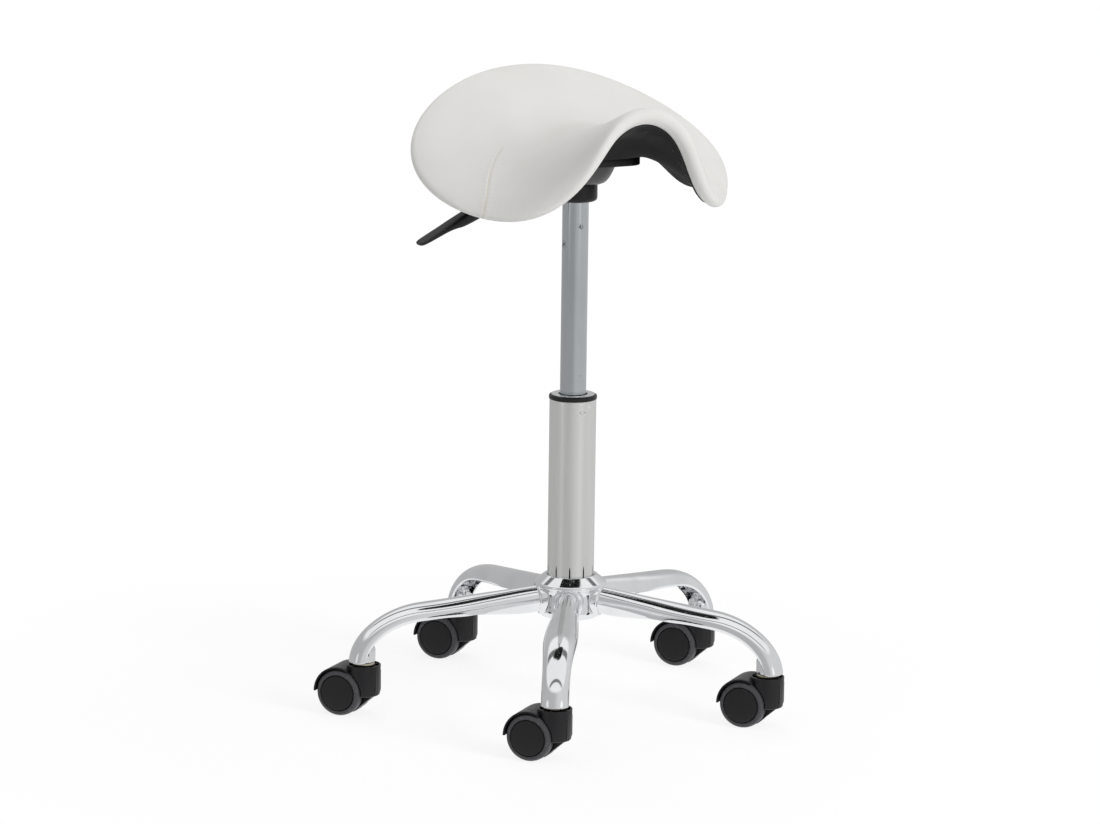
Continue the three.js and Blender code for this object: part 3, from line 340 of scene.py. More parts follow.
class Wire:
    """One value in a node tree. Sums and products of wires add Math nodes."""

    def __init__(self, nodes, socket):
        self.nodes = nodes
        self.socket = socket

    def math(self, operation, *others, clamp=False):
        values = dict(enumerate((self, *others)))
        return self.nodes.node("ShaderNodeMath", {"operation": operation, "use_clamp": clamp}, values)

    def __add__(self, other):
        return self.math("ADD", other)

    __radd__ = __add__

    def __mul__(self, other):
        return self.math("MULTIPLY", other)

    __rmul__ = __mul__

    def __sub__(self, other):
        return self.math("SUBTRACT", other)

    def __rsub__(self, other):
        return (self * -1) + other

    def __truediv__(self, other):
        return self.math("DIVIDE", other)

    def ramp(self, low, high):
        """Nought below low, one above high, and smooth between."""
        values = {"Value": self, "From Min": low, "From Max": high}
        return self.nodes.node("ShaderNodeMapRange", {"interpolation_type": "SMOOTHSTEP"}, values)


WHITE = (1.0, 1.0, 1.0, 1.0)


class Nodes:
    """A node tree, with one method that adds any node."""

    def __init__(self, tree):
        self.tree = tree

    def node(self, kind, settings=None, values=None, output=0):
        node = self.tree.nodes.new(kind)
        for key, value in (settings or {}).items():
            setattr(node, key, value)
        for key, value in (values or {}).items():
            socket = node.inputs[key]
            if isinstance(value, Wire):
                self.tree.links.new(value.socket, socket)
            else:
                socket.default_value = value
        return Wire(self, node.outputs[output])

    def vector(self, operation, first, second=(0, 0, 0)):
        """A number worked out from two vectors."""
        return self.node("ShaderNodeVectorMath", {"operation": operation}, {0: first, 1: second}, "Value")

    def glow(self, strength):
        return self.node("ShaderNodeEmission", {}, {"Color": WHITE, "Strength": strength})

    def seen_by(self, rays, first, second):
        """A mix of two shaders: the second is for one kind of rays, or for a share of them."""
        if isinstance(rays, str):
            rays = self.rays(rays)
        return self.node("ShaderNodeMixShader", {}, {0: rays, 1: first, 2: second})

    def rays(self, kind):
        return self.node("ShaderNodeLightPath", output=f"Is {kind} Ray")

    def end_in(self, kind, wire):
        output = self.tree.nodes.new(kind)
        self.tree.links.new(wire.socket, output.inputs["Surface"])


def emptied(owner):
    """The cleared node tree of a material or a world."""
    owner.use_nodes = True
    owner.node_tree.nodes.clear()
    return Nodes(owner.node_tree)


class Finish(Nodes):
    """A surface finish round one Principled shader."""

    def __init__(self, name, **constants):
        self.material = bpy.data.materials.new(name)
        self.material.use_nodes = True
        super().__init__(self.material.node_tree)
        self.tree.nodes.clear()
        self.shader = self.tree.nodes.new("ShaderNodeBsdfPrincipled")
        output = self.tree.nodes.new("ShaderNodeOutputMaterial")
        self.tree.links.new(self.shader.outputs[0], output.inputs[0])
        for key, value in constants.items():
            self.shader.inputs[key.replace("_", " ").title().replace("Ior", "IOR")].default_value = value

    def place(self, scale=(1, 1, 1)):
        """Object coordinates in metres, stretched by a scale."""
        point = self.node("ShaderNodeTexCoord", output="Object")
        return self.node("ShaderNodeMapping", {}, {"Vector": point, "Scale": scale})

    def noise(self, size, detail=2.0, stretch=(1, 1, 1), rough=0.5):
        """Noise from nought to one with features of a size in millimetres."""
        values = {"Vector": self.place(stretch), "Scale": 1000 / size, "Detail": detail, "Roughness": rough}
        return self.node("ShaderNodeTexNoise", {}, values)

    def cells(self, size, feature="F1"):
        """Distance to the nearest of many points, a size in millimetres apart."""
        values = {"Vector": self.place(), "Scale": 1000 / size}
        return self.node("ShaderNodeTexVoronoi", {"feature": feature}, values, "Distance")

    def waves(self, direction, scale, distortion, detail=2.0):
        """Bands across X or Y, or slanted."""
        values = {"Vector": self.place(), "Scale": scale, "Distortion": distortion, "Detail": detail}
        return self.node("ShaderNodeTexWave", {"bands_direction": direction}, values, "Fac")

    def blend(self, share, first, second):
        """A mix of two colours, each a wire or three numbers."""
        first, second = (c if isinstance(c, Wire) else (*c, 1.0) for c in (first, second))
        return self.node("ShaderNodeMix", {"data_type": "RGBA"}, {0: share, 6: first, 7: second}, 2)

    def feed(self, **wires):
        for key, wire in wires.items():
            self.tree.links.new(wire.socket, self.shader.inputs[key.replace("_", " ").title()])

    def bump(self, height, depth, before=None):
        """A bump whose height of one stands a depth in millimetres proud."""
        values = {"Height": height, "Distance": depth * MM, "Strength": 1.0}
        if before is not None:
            values["Normal"] = before
        return self.node("ShaderNodeBump", {}, values)


def polished_chrome(colour):
    """Bright plate over pressed steel: slow waves in the sheet, faint haze and a few fine scratches."""
    f = Finish("polished_chrome", metallic=1.0)
    haze = f.noise(38, 3)
    fine = f.noise(1.6, 2)
    scratch = f.noise(9, 3, (1, 1, 0.08)).ramp(0.63, 0.7)
    f.feed(
        base_color=f.blend(haze.ramp(0.35, 0.75), colour, tinted(colour, 0.93)),
        roughness=0.045 + haze * 0.05 + scratch * 0.05 + fine * 0.01,
        normal=f.bump(fine, 0.002, f.bump(f.noise(26, 1), 0.05)),
    )
    return f.material


def drawn_chrome(colour):
    """Satin plate on the drawn column: streaks along the tube, small pits, and painted shade darkening the
    creases at its foot.
    """
    f = Finish("drawn_chrome", metallic=1.0)
    streak = f.noise(1.4, 3, (1, 1, 0.012))
    broad = f.noise(11, 2, (1, 1, 0.05))
    pit = 1 - f.cells(9).ramp(0.03, 0.1)
    # Painted shade: the base colour turns dark grey in the creases, where shade falls
    crease = f.node("ShaderNodeAttribute", {"attribute_name": "crease"}, output="Fac").ramp(0.1, 0.7)
    plain = f.blend(broad.ramp(0.3, 0.8), colour, tinted(colour, 0.92))
    f.feed(
        base_color=f.blend(crease, plain, tone("3a3b3d")),
        roughness=0.2 + streak * 0.1 + broad * 0.08 + pit * 0.1,
        normal=f.bump(pit, -0.02, f.bump(streak, 0.006)),
    )
    return f.material


# Worn spots on the pressure tube: turn in degrees, height and radius
WORN_SPOTS = ((-150, 503, 5.5), (-64, 523, 4.0))
TUBE_RADIUS = 14.0


def satin_steel(colour):
    """Ground steel of the pressure tube: fine grinding along it, oil film and a few scuffs."""
    f = Finish("satin_steel", metallic=1.0)
    grind = f.noise(0.8, 3, (1, 1, 0.03))
    film = f.noise(24, 3, (1, 1, 0.35))
    point = f.node("ShaderNodeTexCoord", output="Object")
    scuff = f.noise(6, 4).ramp(0.66, 0.74) * f.noise(30, 1).ramp(0.5, 0.62)
    for turn, height, radius in WORN_SPOTS:
        a = math.radians(turn + VIEW_TURN)
        spot = AXIS + np.array([TUBE_RADIUS * math.cos(a), TUBE_RADIUS * math.sin(a), height]) * MM
        gap = f.vector("DISTANCE", point, tuple(spot))
        worn = (1 - gap.ramp(radius * 0.3 * MM, radius * MM)) * f.noise(2.2, 3).ramp(0.42, 0.56)
        scuff = scuff.math("MAXIMUM", worn)
    plain = f.blend(film.ramp(0.3, 0.8), colour, tinted(colour, 0.92))
    f.feed(
        base_color=f.blend(scuff, plain, tone("6a6b6e")),
        roughness=0.08 + grind * 0.06 + film * 0.05 + scuff * 0.25,
        normal=f.bump(scuff, -0.03, f.bump(grind, 0.005)),
    )
    return f.material


def zinc_plate():
    """Zinc on the stems, axles, bolts and bearing: pale, a little cloudy."""
    f = Finish("zinc_plate", metallic=1.0)
    cloud = f.noise(5, 4)
    f.feed(
        base_color=f.blend(cloud, tone("c9c8bf"), tone("a9a79c")),
        roughness=0.3 + cloud * 0.22,
        normal=f.bump(f.noise(0.7, 2), 0.01),
    )
    return f.material


def moulded_black(name, colour, gloss, grain=0.35, worn=0.25):
    """Moulded black nylon: a spark grain, slow darker clouding and paler rubbed patches."""
    f = Finish(name, specular_ior_level=0.32)
    spark = f.noise(grain, 2)
    cloud = f.noise(14, 3)
    rubbed = f.noise(7, 5).ramp(0.6, 0.78)
    paler = tinted(colour, 1.5, 0.006)
    plain = f.blend(cloud, colour, tinted(colour, 0.82))
    f.feed(
        base_color=f.blend(rubbed * worn, plain, paler),
        roughness=gloss + spark * 0.12 + rubbed * 0.08,
        normal=f.bump(spark, 0.012, f.bump(cloud, 0.02)),
    )
    return f.material


def tyre_grey(colour):
    """Grey tread: matt, with fine moulding texture, grit and rolling marks round the tread."""
    f = Finish("tyre_grey", specular_ior_level=0.4)
    grit = f.noise(0.5, 3)
    cloud = f.noise(9, 3)
    rub = f.noise(3.5, 5).ramp(0.58, 0.75)
    plain = f.blend(cloud, colour, tinted(colour, 0.8))
    f.feed(
        base_color=f.blend(rub * 0.5, plain, tone("77767a")),
        roughness=0.34 + grit * 0.14 + cloud * 0.08,
        normal=f.bump(grit, 0.02, f.bump(rub, 0.02)),
    )
    return f.material


def powder_coat(name, colour, gloss):
    """Black coat on pressed steel, with its orange peel and worn specks."""
    f = Finish(name, specular_ior_level=0.4)
    peel = f.noise(0.9, 2)
    cloud = f.noise(20, 2)
    speck = f.cells(2.2).ramp(0.06, 0.14)
    plain = f.blend(cloud, colour, tinted(colour, 0.8))
    f.feed(
        base_color=f.blend(speck, tinted(colour, 1.6, 0.01), plain),
        roughness=gloss + peel * 0.12,
        normal=f.bump(peel, 0.03),
    )
    return f.material


def lining_cloth(colour):
    """Thin black woven lining: a plain weave a millimetre apart, lint and slow slack."""
    f = Finish("lining_cloth", sheen_weight=0.06, sheen_roughness=0.6, specular_ior_level=0.15)
    weave = f.waves("X", 160.0, 0.6, 1.0).math("MAXIMUM", f.waves("Y", 160.0, 0.6, 1.0))
    lint = f.noise(1.4, 5).ramp(0.66, 0.8)
    slack = f.noise(30, 2)
    base = f.blend(weave, tinted(colour, 0.6), colour)
    f.feed(
        base_color=f.blend(lint * 0.5, base, tone("5a5958")),
        roughness=0.82 + weave * 0.12,
        normal=f.bump(weave, 0.08, f.bump(slack, 0.5)),
    )
    return f.material


def shell_board(colour):
    """The moulded board of the shell: pressed fibre with a faint grain."""
    f = Finish("shell_board")
    fibre = f.noise(2.5, 4, (1, 0.2, 1))
    f.feed(
        base_color=f.blend(fibre, colour, tinted(colour, 1.7)),
        roughness=0.7 + fibre * 0.15,
        normal=f.bump(fibre, 0.06),
    )
    return f.material


def coated_cover(colour, shade):
    """Off-white coated fabric: pebbled grain, pores, slow mottling and a soft satin coat."""
    sheen = {"sheen_weight": 0.08, "sheen_roughness": 0.5}
    f = Finish("coated_cover", coat_roughness=0.45, specular_ior_level=0.45, **sheen)
    pebble = f.cells(1.15, "SMOOTH_F1")
    pore = 1 - f.cells(2.3).ramp(0.05, 0.16)
    cloud = f.noise(55, 3)
    crease = f.noise(4.5, 4)
    soiled = f.noise(120, 4).ramp(0.52, 0.8)
    plain = f.blend(cloud.ramp(0.3, 0.75), colour, tinted(colour, 0.97))
    f.feed(
        base_color=f.blend(pore * 0.35, f.blend(soiled * 0.3, plain, shade), shade),
        roughness=0.42 + pebble * 0.14 + cloud * 0.06,
        coat_weight=0.06 + cloud * 0.06,
        normal=f.bump(pebble, 0.035, f.bump(crease, 0.03, f.bump(cloud, 0.25))),
    )
    return f.material


def sewing_thread(colour):
    """Twisted thread: fine slanting plies."""
    f = Finish("sewing_thread", sheen_weight=0.3)
    ply = f.waves("DIAGONAL", 900.0, 1.0)
    f.feed(
        base_color=f.blend(ply, tinted(colour, 0.86), colour),
        roughness=0.6 + ply * 0.2,
        normal=f.bump(ply, 0.05),
    )
    return f.material


def cream_nylon(colour):
    """The bearing ring on a caster's stem: waxy, with a trace of grease."""
    f = Finish("cream_nylon", specular_ior_level=0.5)
    grease = f.noise(3, 4).ramp(0.5, 0.75)
    f.feed(
        base_color=f.blend(grease, colour, tinted(colour, 0.72)),
        roughness=0.38 + grease * 0.15,
        normal=f.bump(f.noise(0.6, 2), 0.015),
    )
    return f.material


# Geometry nodes


class Recipe(Nodes):
    """A geometry node tree with named inputs, for one kind of repeated or swept piece."""

    def __init__(self, name, **inputs):
        tree = bpy.data.node_groups.new(name, "GeometryNodeTree")
        super().__init__(tree)
        self.keys = {}
        tree.interface.new_socket(name="Geometry", in_out="INPUT", socket_type="NodeSocketGeometry")
        for label, kind in inputs.items():
            item = tree.interface.new_socket(
                name=label.capitalize(), in_out="INPUT", socket_type=f"NodeSocket{kind}")
            self.keys[label] = item.identifier
        tree.interface.new_socket(name="Geometry", in_out="OUTPUT", socket_type="NodeSocketGeometry")
        self.start = tree.nodes.new("NodeGroupInput")
        self.end = tree.nodes.new("NodeGroupOutput")

    def take(self, label=None):
        position = 0 if label is None else list(self.keys).index(label) + 1
        return Wire(self, self.start.outputs[position])

    def give(self, wire):
        """Ends the tree in real geometry with a material."""
        real = self.node("GeometryNodeRealizeInstances", {}, {0: wire})
        done = self.node("GeometryNodeSetMaterial", {}, {0: real, "Material": self.take("finish")})
        self.tree.links.new(done.socket, self.end.inputs[0])
        return self

    def copies(self, spots, heading):
        """Ends the tree in copies of the unit on the spots, each turned to its heading."""
        unit = self.node("GeometryNodeObjectInfo", {}, {"Object": self.take("unit")}, "Geometry")
        values = {"Points": spots, "Instance": unit, "Rotation": heading}
        return self.give(self.node("GeometryNodeInstanceOnPoints", {}, values))

    def run(self, path, **values):
        """The shape that the tree makes from a path or a set of points."""
        carrier = linked("path", mesh_of_path(path))
        modifier = carrier.modifiers.new("recipe", "NODES")
        modifier.node_group = self.tree
        for label, value in values.items():
            modifier[self.keys[label]] = value
        result = shape_of(evaluated(carrier))
        carrier.modifiers.remove(modifier)
        bpy.data.objects.remove(carrier)
        return result


def mesh_of_path(path):
    """A mesh of edges along a path; a closed path repeats its first point."""
    path = np.asarray(path, float)
    mesh = bpy.data.meshes.new("path")
    closed = len(path) > 2 and np.allclose(path[0], path[-1])
    points = path[:-1] if closed else path
    count = len(points)
    edges = [(i, (i + 1) % count) for i in range(count if closed else count - 1)]
    mesh.from_pydata(points.tolist(), edges, [])
    return mesh


def swept_recipe():
    """A round bar along a path."""
    r = Recipe("swept bar", thickness="Float", sides="Int", finish="Material")
    line = r.node("GeometryNodeMeshToCurve", {}, {"Mesh": r.take()})
    values = {"Resolution": r.take("sides"), "Radius": r.take("thickness") * 0.5}
    ring = r.node("GeometryNodeCurvePrimitiveCircle", {}, values)
    values = {"Curve": line, "Profile Curve": ring, "Fill Caps": True}
    return r.give(r.node("GeometryNodeCurveToMesh", {}, values))


def row_recipe():
    """Copies of one small piece at an even pitch along a path, turned to follow it."""
    r = Recipe("row along a path", unit="Object", pitch="Float", finish="Material")
    line = r.node("GeometryNodeMeshToCurve", {}, {"Mesh": r.take()})
    values = {"Curve": line, "Length": r.take("pitch")}
    spots = r.node("GeometryNodeCurveToPoints", {"mode": "LENGTH"}, values)
    return r.copies(spots, Wire(r, spots.socket.node.outputs["Rotation"]))


# The spots of a ring of pieces lie at its middle, because each piece is drawn in its place from there
NO_RADIUS = 1e-6


def ring_recipe():
    """Copies of one small piece spaced evenly round Z."""
    r = Recipe("ring of pieces", unit="Object", count="Int", finish="Material")
    spots = r.node("GeometryNodeMeshCircle", {}, {"Vertices": r.take("count"), "Radius": NO_RADIUS})
    step = r.node("GeometryNodeInputIndex") * (2 * math.pi) / r.take("count")
    return r.copies(spots, r.node("ShaderNodeCombineXYZ", {}, {"Z": step}))


def with_unit(recipe, shape, path, **values):
    """Runs a recipe on a small piece that is made for it and then removed."""
    unit = linked("unit", mesh_of(shape))
    result = recipe.run(path, unit=unit, **values)
    bpy.data.objects.remove(unit)
    return result


# Settings


def size(name, description, default, low=0.0, high=1000.0):
    """A length property; its numbers are written in millimetres and kept in metres."""
    return bpy.props.FloatProperty(
        name=name, description=description, default=default * MM, min=low * MM, max=high * MM, precision=4,
        subtype="DISTANCE", unit="LENGTH")


def colour(name, description, default):
    return bpy.props.FloatVectorProperty(
        name=name, description=description, default=tone(default), size=3, min=0.0, max=1.0, subtype="COLOR")


def number(name, description, default, low, high):
    return bpy.props.IntProperty(name=name, description=description, default=default, min=low, max=high)


def power(name, description, default):
    """A lamp's power in watts."""
    return bpy.props.FloatProperty(name=name, description=description, default=default, min=0, unit="POWER")


class CasterSettings(bpy.types.PropertyGroup):
    """Sizes and colours of the five casters."""

    rib_count: number("Ribs", "Ribs in the open top of each socket", 8, 3, 16)
    rib_thickness: size("Rib thickness", "Thickness of a rib", 1.2, 0.5, 3)
    tread_round: size("Tread rounding", "Depth of the rounding at the tread's edge", 7.0, 0.5, 9)
    cap_rise: size("Cap rise", "How far the hub cap bulges", 1.9, 0, 4)
    housing_colour: colour("Housing", "Colour of the housing", "1b1b1e")
    cap_colour: colour("Hub cap", "Colour of the hub cap", "19191b")
    tyre_colour: colour("Tyre", "Colour of the tyre", "48484c")
    ring_colour: colour("Ring", "Colour of the bearing ring on the stem", "c9c3ae")


class BaseSettings(bpy.types.PropertyGroup):
    """Sizes and colours of the arms and the hub."""

    chrome_colour: colour("Chrome", "Colour of the polished plate", "e9eaec")
    collar_thickness: size("Weld bead", "Thickness of the bead round each arm's root", 1.4, 0.5, 6)
    arm_stations: number("Arm stations", "Sections along each arm", 84, 20, 200)


class ColumnSettings(bpy.types.PropertyGroup):
    """Sizes and colours of the column and the gas lift."""

    column_colour: colour("Column", "Colour of the column's satin plate", "e4e5e3")
    tube_colour: colour("Pressure tube", "Colour of the ground steel tube", "bfc3c6")
    crease_depth: size("Crease depth", "Depth of the pressed creases at the foot", 1.3, 0, 1.4)
    crease_width: size("Crease width", "Half of a crease's width", 0.5, 0.2, 3)
    plastic_colour: colour("Plastic", "Colour of the bush and the shroud", "19191a")


class SeatSettings(bpy.types.PropertyGroup):
    """Sizes and colours of the seat."""

    cover_colour: colour("Cover", "Colour of the cover", "ecebe8")
    shade_colour: colour("Cover shade", "Colour of the pores and handled places", "d9d6cc")
    thread_colour: colour("Thread", "Colour of the sewing thread", "f6efe0")
    lining_colour: colour("Lining", "Colour of the lining under the seat", "222121")
    around: number("Points round the rim", "Points round the rim of the pad", 176, 64, 400)
    pressure: bpy.props.FloatProperty(
        name="Foam pressure", description="Pressure of the foam on the cover in the simulation",
        default=2.2, min=0, max=10)
    swell_limit: size("Swell limit", "How far the cover may move in the simulation", 2.0, 0, 10)
    seam_depth: size("Seam depth", "Depth of the sewn seam", 0.45, 0, 3)
    stitch_pitch: size("Stitch pitch", "Distance from stitch to stitch", 3.1, 1, 12)
    staple_pitch: size("Staple pitch", "Distance from staple to staple under the seat", 21, 8, 60)


class LeverSettings(bpy.types.PropertyGroup):
    """Sizes and colours of the lever, the plate and the pan."""

    steel_colour: colour("Steel", "Colour of the coated steel", "060607")
    # The pan's grey is partly its coat's own colour and partly a painted reflection of the pale floor
    pan_colour_and_reflection: colour("Pan", "Colour of the pan", "3c3c3c")
    grip_colour: colour("Grip", "Colour of the lever's grip", "212224")


class StudioSettings(bpy.types.PropertyGroup):
    """Light and camera."""

    key_power: power("Key light", "Power of the key lamp", 44.0)
    back_power: power("Back light", "Power of the lamp behind", 20.0)
    side_power: power("Side light", "Power of the side lamp", 1.5)
    sky: bpy.props.FloatProperty(
        name="Sky", description="Strength of the even light from all round", default=0.49, min=0)
    floor_colour: colour("Floor", "Colour of the floor", "f2f2f2")


SETTINGS = {
    "stool_casters": CasterSettings,
    "stool_base": BaseSettings,
    "stool_column": ColumnSettings,
    "stool_seat": SeatSettings,
    "stool_lever": LeverSettings,
    "stool_studio": StudioSettings,
}


# Casters

WHEEL_RADIUS = 25.0
WHEEL_INNER = 6.8
WHEEL_OUTER = 22.6
CAP_RADIUS = 19.0
TYRE_BORE = 19.6
AXLE_RADIUS = 3.2
CASTER_TRAIL = 22.0
AXLE = (CASTER_TRAIL, WHEEL_RADIUS)
AXLE_PLACE = (CASTER_TRAIL, 0, WHEEL_RADIUS)
WEB_HALF = 6.4
HOOD_INNER = 26.4
HOOD_OUTER = 28.2
HOOD_HALF = 19.5
SOCKET_RADIUS = 18.0
SOCKET_FOOT = 22.0
HOUSING_TOP = 55.3
DISH_RADIUS = 16.2
DISH_DEPTH = 3.2
BOSS_RADIUS = 8.0
STEM_BORE = 5.3
STEM_FOOT = 36.0
RING_FOOT = 55.7
RING_TOP = 58.0
STEM_TOP = 79.0
SLEEVE_RIDGES = 5
RIDGE_PITCH = 3.2

# The dome of a hub cap starts this many degrees up from its edge
DOME_START = 14

# How the casters stand turned, and where the arms and the swivels are
CASTER_TURN = math.radians(128)
ARM_CIRCLE = 226.0
ARM_TURN = math.radians(-122.8)


def arm_turn(i):
    return ARM_TURN + (i - 1) * 2 * math.pi / len(CASTERS)


def caster_place(shape, i):
    """A shape drawn round a caster's swivel axis, put in its place."""
    a = arm_turn(i)
    return moved(shape, CASTER_TURN, (ARM_CIRCLE * math.cos(a), ARM_CIRCLE * math.sin(a), 0))


def housing_shape():
    """Socket, hood and web as one moulding, hollow over the wheels and open at the top."""
    front = -17.0
    slope_end = front + 20
    foot = [
        (front, HOUSING_TOP - 6),
        *bow((front, 29), (front, 25.5), (front + 2.5, 23.4)),
        *bow((slope_end, 8.2), (slope_end + 4, 2.8), (slope_end + 8, 2.8)),
        *arc(AXLE, 22.2, -90, -4, 20),
        *arc(AXLE, HOOD_OUTER - 0.5, 0, 100, 24),
        (0, HOUSING_TOP - 6),
    ]
    socket = turned(softened([
        (0, SOCKET_FOOT), (SOCKET_RADIUS - 0.8, SOCKET_FOOT, 2.5), (SOCKET_RADIUS, HOUSING_TOP, 0.7),
        (0, HOUSING_TOP)], 0), 72)
    hood = slab([AXLE, *arc(AXLE, HOOD_OUTER, 0, 115, 48)], -HOOD_HALF, HOOD_HALF)
    floor, over = HOUSING_TOP - DISH_DEPTH, HOUSING_TOP + 2
    dish = [(BOSS_RADIUS, floor), (DISH_RADIUS, floor), (DISH_RADIUS, over), (BOSS_RADIUS, over)]
    room = cylinder(HOOD_INNER, WEB_HALF, 2 * HOOD_HALF + 1, 96)
    stem_hole = cylinder(STEM_BORE, STEM_FOOT, HOUSING_TOP + 3)
    axle_hole = cylinder(AXLE_RADIUS, -HOOD_HALF - 0.5, HOOD_HALF + 0.5, 24)
    return carved(socket, [
        ("UNION", slab(foot, -WEB_HALF, WEB_HALF)),
        ("UNION", hood),
        ("DIFFERENCE", turned(dish, 72, closed=True)),
        ("DIFFERENCE", along_y(room, AXLE_PLACE)),
        ("DIFFERENCE", along_y(room, AXLE_PLACE, -1)),
        ("DIFFERENCE", stem_hole),
        ("DIFFERENCE", along_y(axle_hole, AXLE_PLACE)),
    ], bevel=0.45)


def core_shape(cap_rise):
    """A wheel's core with its domed hub cap, drawn up from the caster's middle."""
    edge = WHEEL_OUTER - cap_rise
    rim = CAP_RADIUS + 0.3
    groove = WHEEL_INNER + 2.4
    angles = np.radians(np.linspace(DOME_START, 90, 12))
    dome = [(CAP_RADIUS * math.cos(a), edge + cap_rise * math.sin(a)) for a in angles[:-1]]
    return turned([
        (0, 17.0), (AXLE_RADIUS, 17.0), (AXLE_RADIUS, WHEEL_INNER), (6.2, WHEEL_INNER), (6.6, groove),
        (17.0, groove), (17.4, WHEEL_INNER), (rim, WHEEL_INNER), (rim, edge - 1.2), (CAP_RADIUS, edge - 0.2),
        *dome, (0, WHEEL_OUTER),
    ], 72)


def tyre_shape(rounding):
    """A tyre with a rounded shoulder on its outer side."""
    inner = WHEEL_INNER + 1.9
    outer = WHEEL_OUTER - 1.3
    lip = TYRE_BORE + 1.0
    shoulder = [(lip + (WHEEL_RADIUS - lip) * math.cos(a), outer + rounding * (math.sin(a) - 1), 0)
                for a in np.linspace(0, math.pi / 2, 10)]
    return turned_ring([
        (TYRE_BORE, inner, 0.3), (WHEEL_RADIUS, inner, 1.4), *shoulder, (TYRE_BORE, outer - 0.7, 0.2),
    ], steps=6)


def rib_shape(thickness):
    """One upright rib from the boss to the rim of the socket."""
    low = (BOSS_RADIUS - 0.4, -thickness / 2, HOUSING_TOP - DISH_DEPTH - 0.4)
    return block(low, (DISH_RADIUS + 0.4, thickness / 2, HOUSING_TOP - 0.9))


def stem_shape():
    """The steel stem with its grip sleeve, whose ridges spring into the arm's socket."""
    ridges = []
    for k in range(SLEEVE_RIDGES):
        z = 62.0 + RIDGE_PITCH * k
        ridges += [(7.6, z), (8.2, z + 0.6), (8.2, z + 1.6), (7.6, z + 2.2)]
    return turned([
        (0, STEM_FOOT + 0.4), (5, STEM_FOOT + 0.4), (5, RING_TOP + 0.3), (7.2, RING_TOP + 0.6), *ridges,
        (7.4, STEM_TOP - 1.4), (6.2, STEM_TOP), (0, STEM_TOP)], 40)


def ring_shape():
    """The bearing ring on a stem."""
    profile = [(5.15, RING_FOOT), (11.4, RING_FOOT), (11.4, RING_TOP), (5.15, RING_TOP)]
    return turned_ring(profile, 0.5, 56)


# Arms, hub and column

ARM_START = 26.6
ARM_KNEE = 158.0
ARM_OUTER = 242.4
ARM_ROOT_TOP = 134.0
ARM_KNEE_TOP = 120.0
ARM_END = 58.5
ARM_WALL = 2.6

# An arm's width and depth at its root, at its knee and at its socket
ARM_WIDTHS = (25.5, 35.0, 29.0)
ARM_DEPTHS = (29.0, 16.0, 15.0)

# Where an arm goes from round to flat, and where its underside opens
ARM_FLATTENS = (44, 150)
ARM_OPENS = (108, 132)

# The bend of an arm is a curve a little squarer than an ellipse, eased into the straight stretch
BEND_POWER = 1.85
BEND_EASE = 60

# The last section of an arm is this share of the one before it
MOUTH_SHARE = 0.985


def arm_crown(count):
    """The top line of an arm as (reach, height), straight and then bent down, at an even pitch."""
    slope = (ARM_KNEE_TOP - ARM_ROOT_TOP) / (ARM_KNEE - ARM_START)
    line = [(x, ARM_ROOT_TOP + slope * (x - ARM_START)) for x in np.linspace(ARM_START, ARM_KNEE, 60)]
    for a in np.radians(np.linspace(1, 90, 90)):
        out, down = math.sin(a) ** (2 / BEND_POWER), max(math.cos(a), 0) ** (2 / BEND_POWER)
        line.append((ARM_KNEE + (ARM_OUTER - ARM_KNEE) * out, ARM_END + (ARM_KNEE_TOP - ARM_END) * down))
    return evenly(eased(line, BEND_EASE), count)


def along_arm(sizes, flat, end):
    """A size between its values at the root, the knee and the socket."""
    root, knee, socket = sizes
    return (root + (knee - root) * flat) * (1 - end) + socket * end


def arm_section(p, tangent, grow=0.0, channel=True):
    """One closed section of an arm: its crown, and then its foot or the inside of its channel."""
    up = np.array([-tangent[1], 0, tangent[0]])
    flat = float(smoothstep(p[0], *ARM_FLATTENS))
    end = float(smoothstep(p[0], ARM_KNEE, ARM_CIRCLE))
    width = along_arm(ARM_WIDTHS, flat, end) + 2 * grow
    depth = along_arm(ARM_DEPTHS, flat, end) + 2 * grow
    half = width / 2
    rise = depth / 2 + (min(depth * 0.72, half) - depth / 2) * flat
    crown = [(half * math.cos(a), rise * (math.sin(a) - 1)) for a in np.linspace(0, math.pi, 33)]
    # The foot is round, and then level between its two edges
    t = np.linspace(0, 1, 30)
    around = np.stack([-half * np.cos(math.pi * t), -rise - (depth - rise) * np.sin(math.pi * t)], 1)
    level = np.stack([half * np.clip(2.2 * t - 1.1, -1, 1), np.full(len(t), -depth)], 1)
    level[[0, -1], 1] += 1.2
    closed = around + (level - around) * flat
    # An open foot has three points on each edge and a vault between them
    open_share = float(smoothstep(p[0], *ARM_OPENS)) if channel else 0.0
    inner_half = half - ARM_WALL
    sweep = np.linspace(math.pi, 0, len(t) - 6)
    vault = np.stack([inner_half * np.cos(sweep), -rise + (rise - ARM_WALL) * np.sin(sweep)], 1)
    left = [(-half, -depth + 1.0), (-half + 0.7, -depth), (-inner_half, -depth + 0.2)]
    hollow = np.array([*left, *vault, *[(-x, z) for x, z in left[::-1]]])
    foot = closed + (hollow - closed) * open_share
    base = np.array([p[0], 0, p[1]]) + up * grow
    return np.array([base + np.array([0, y, 0]) + up * h for y, h in np.vstack([crown, foot])])


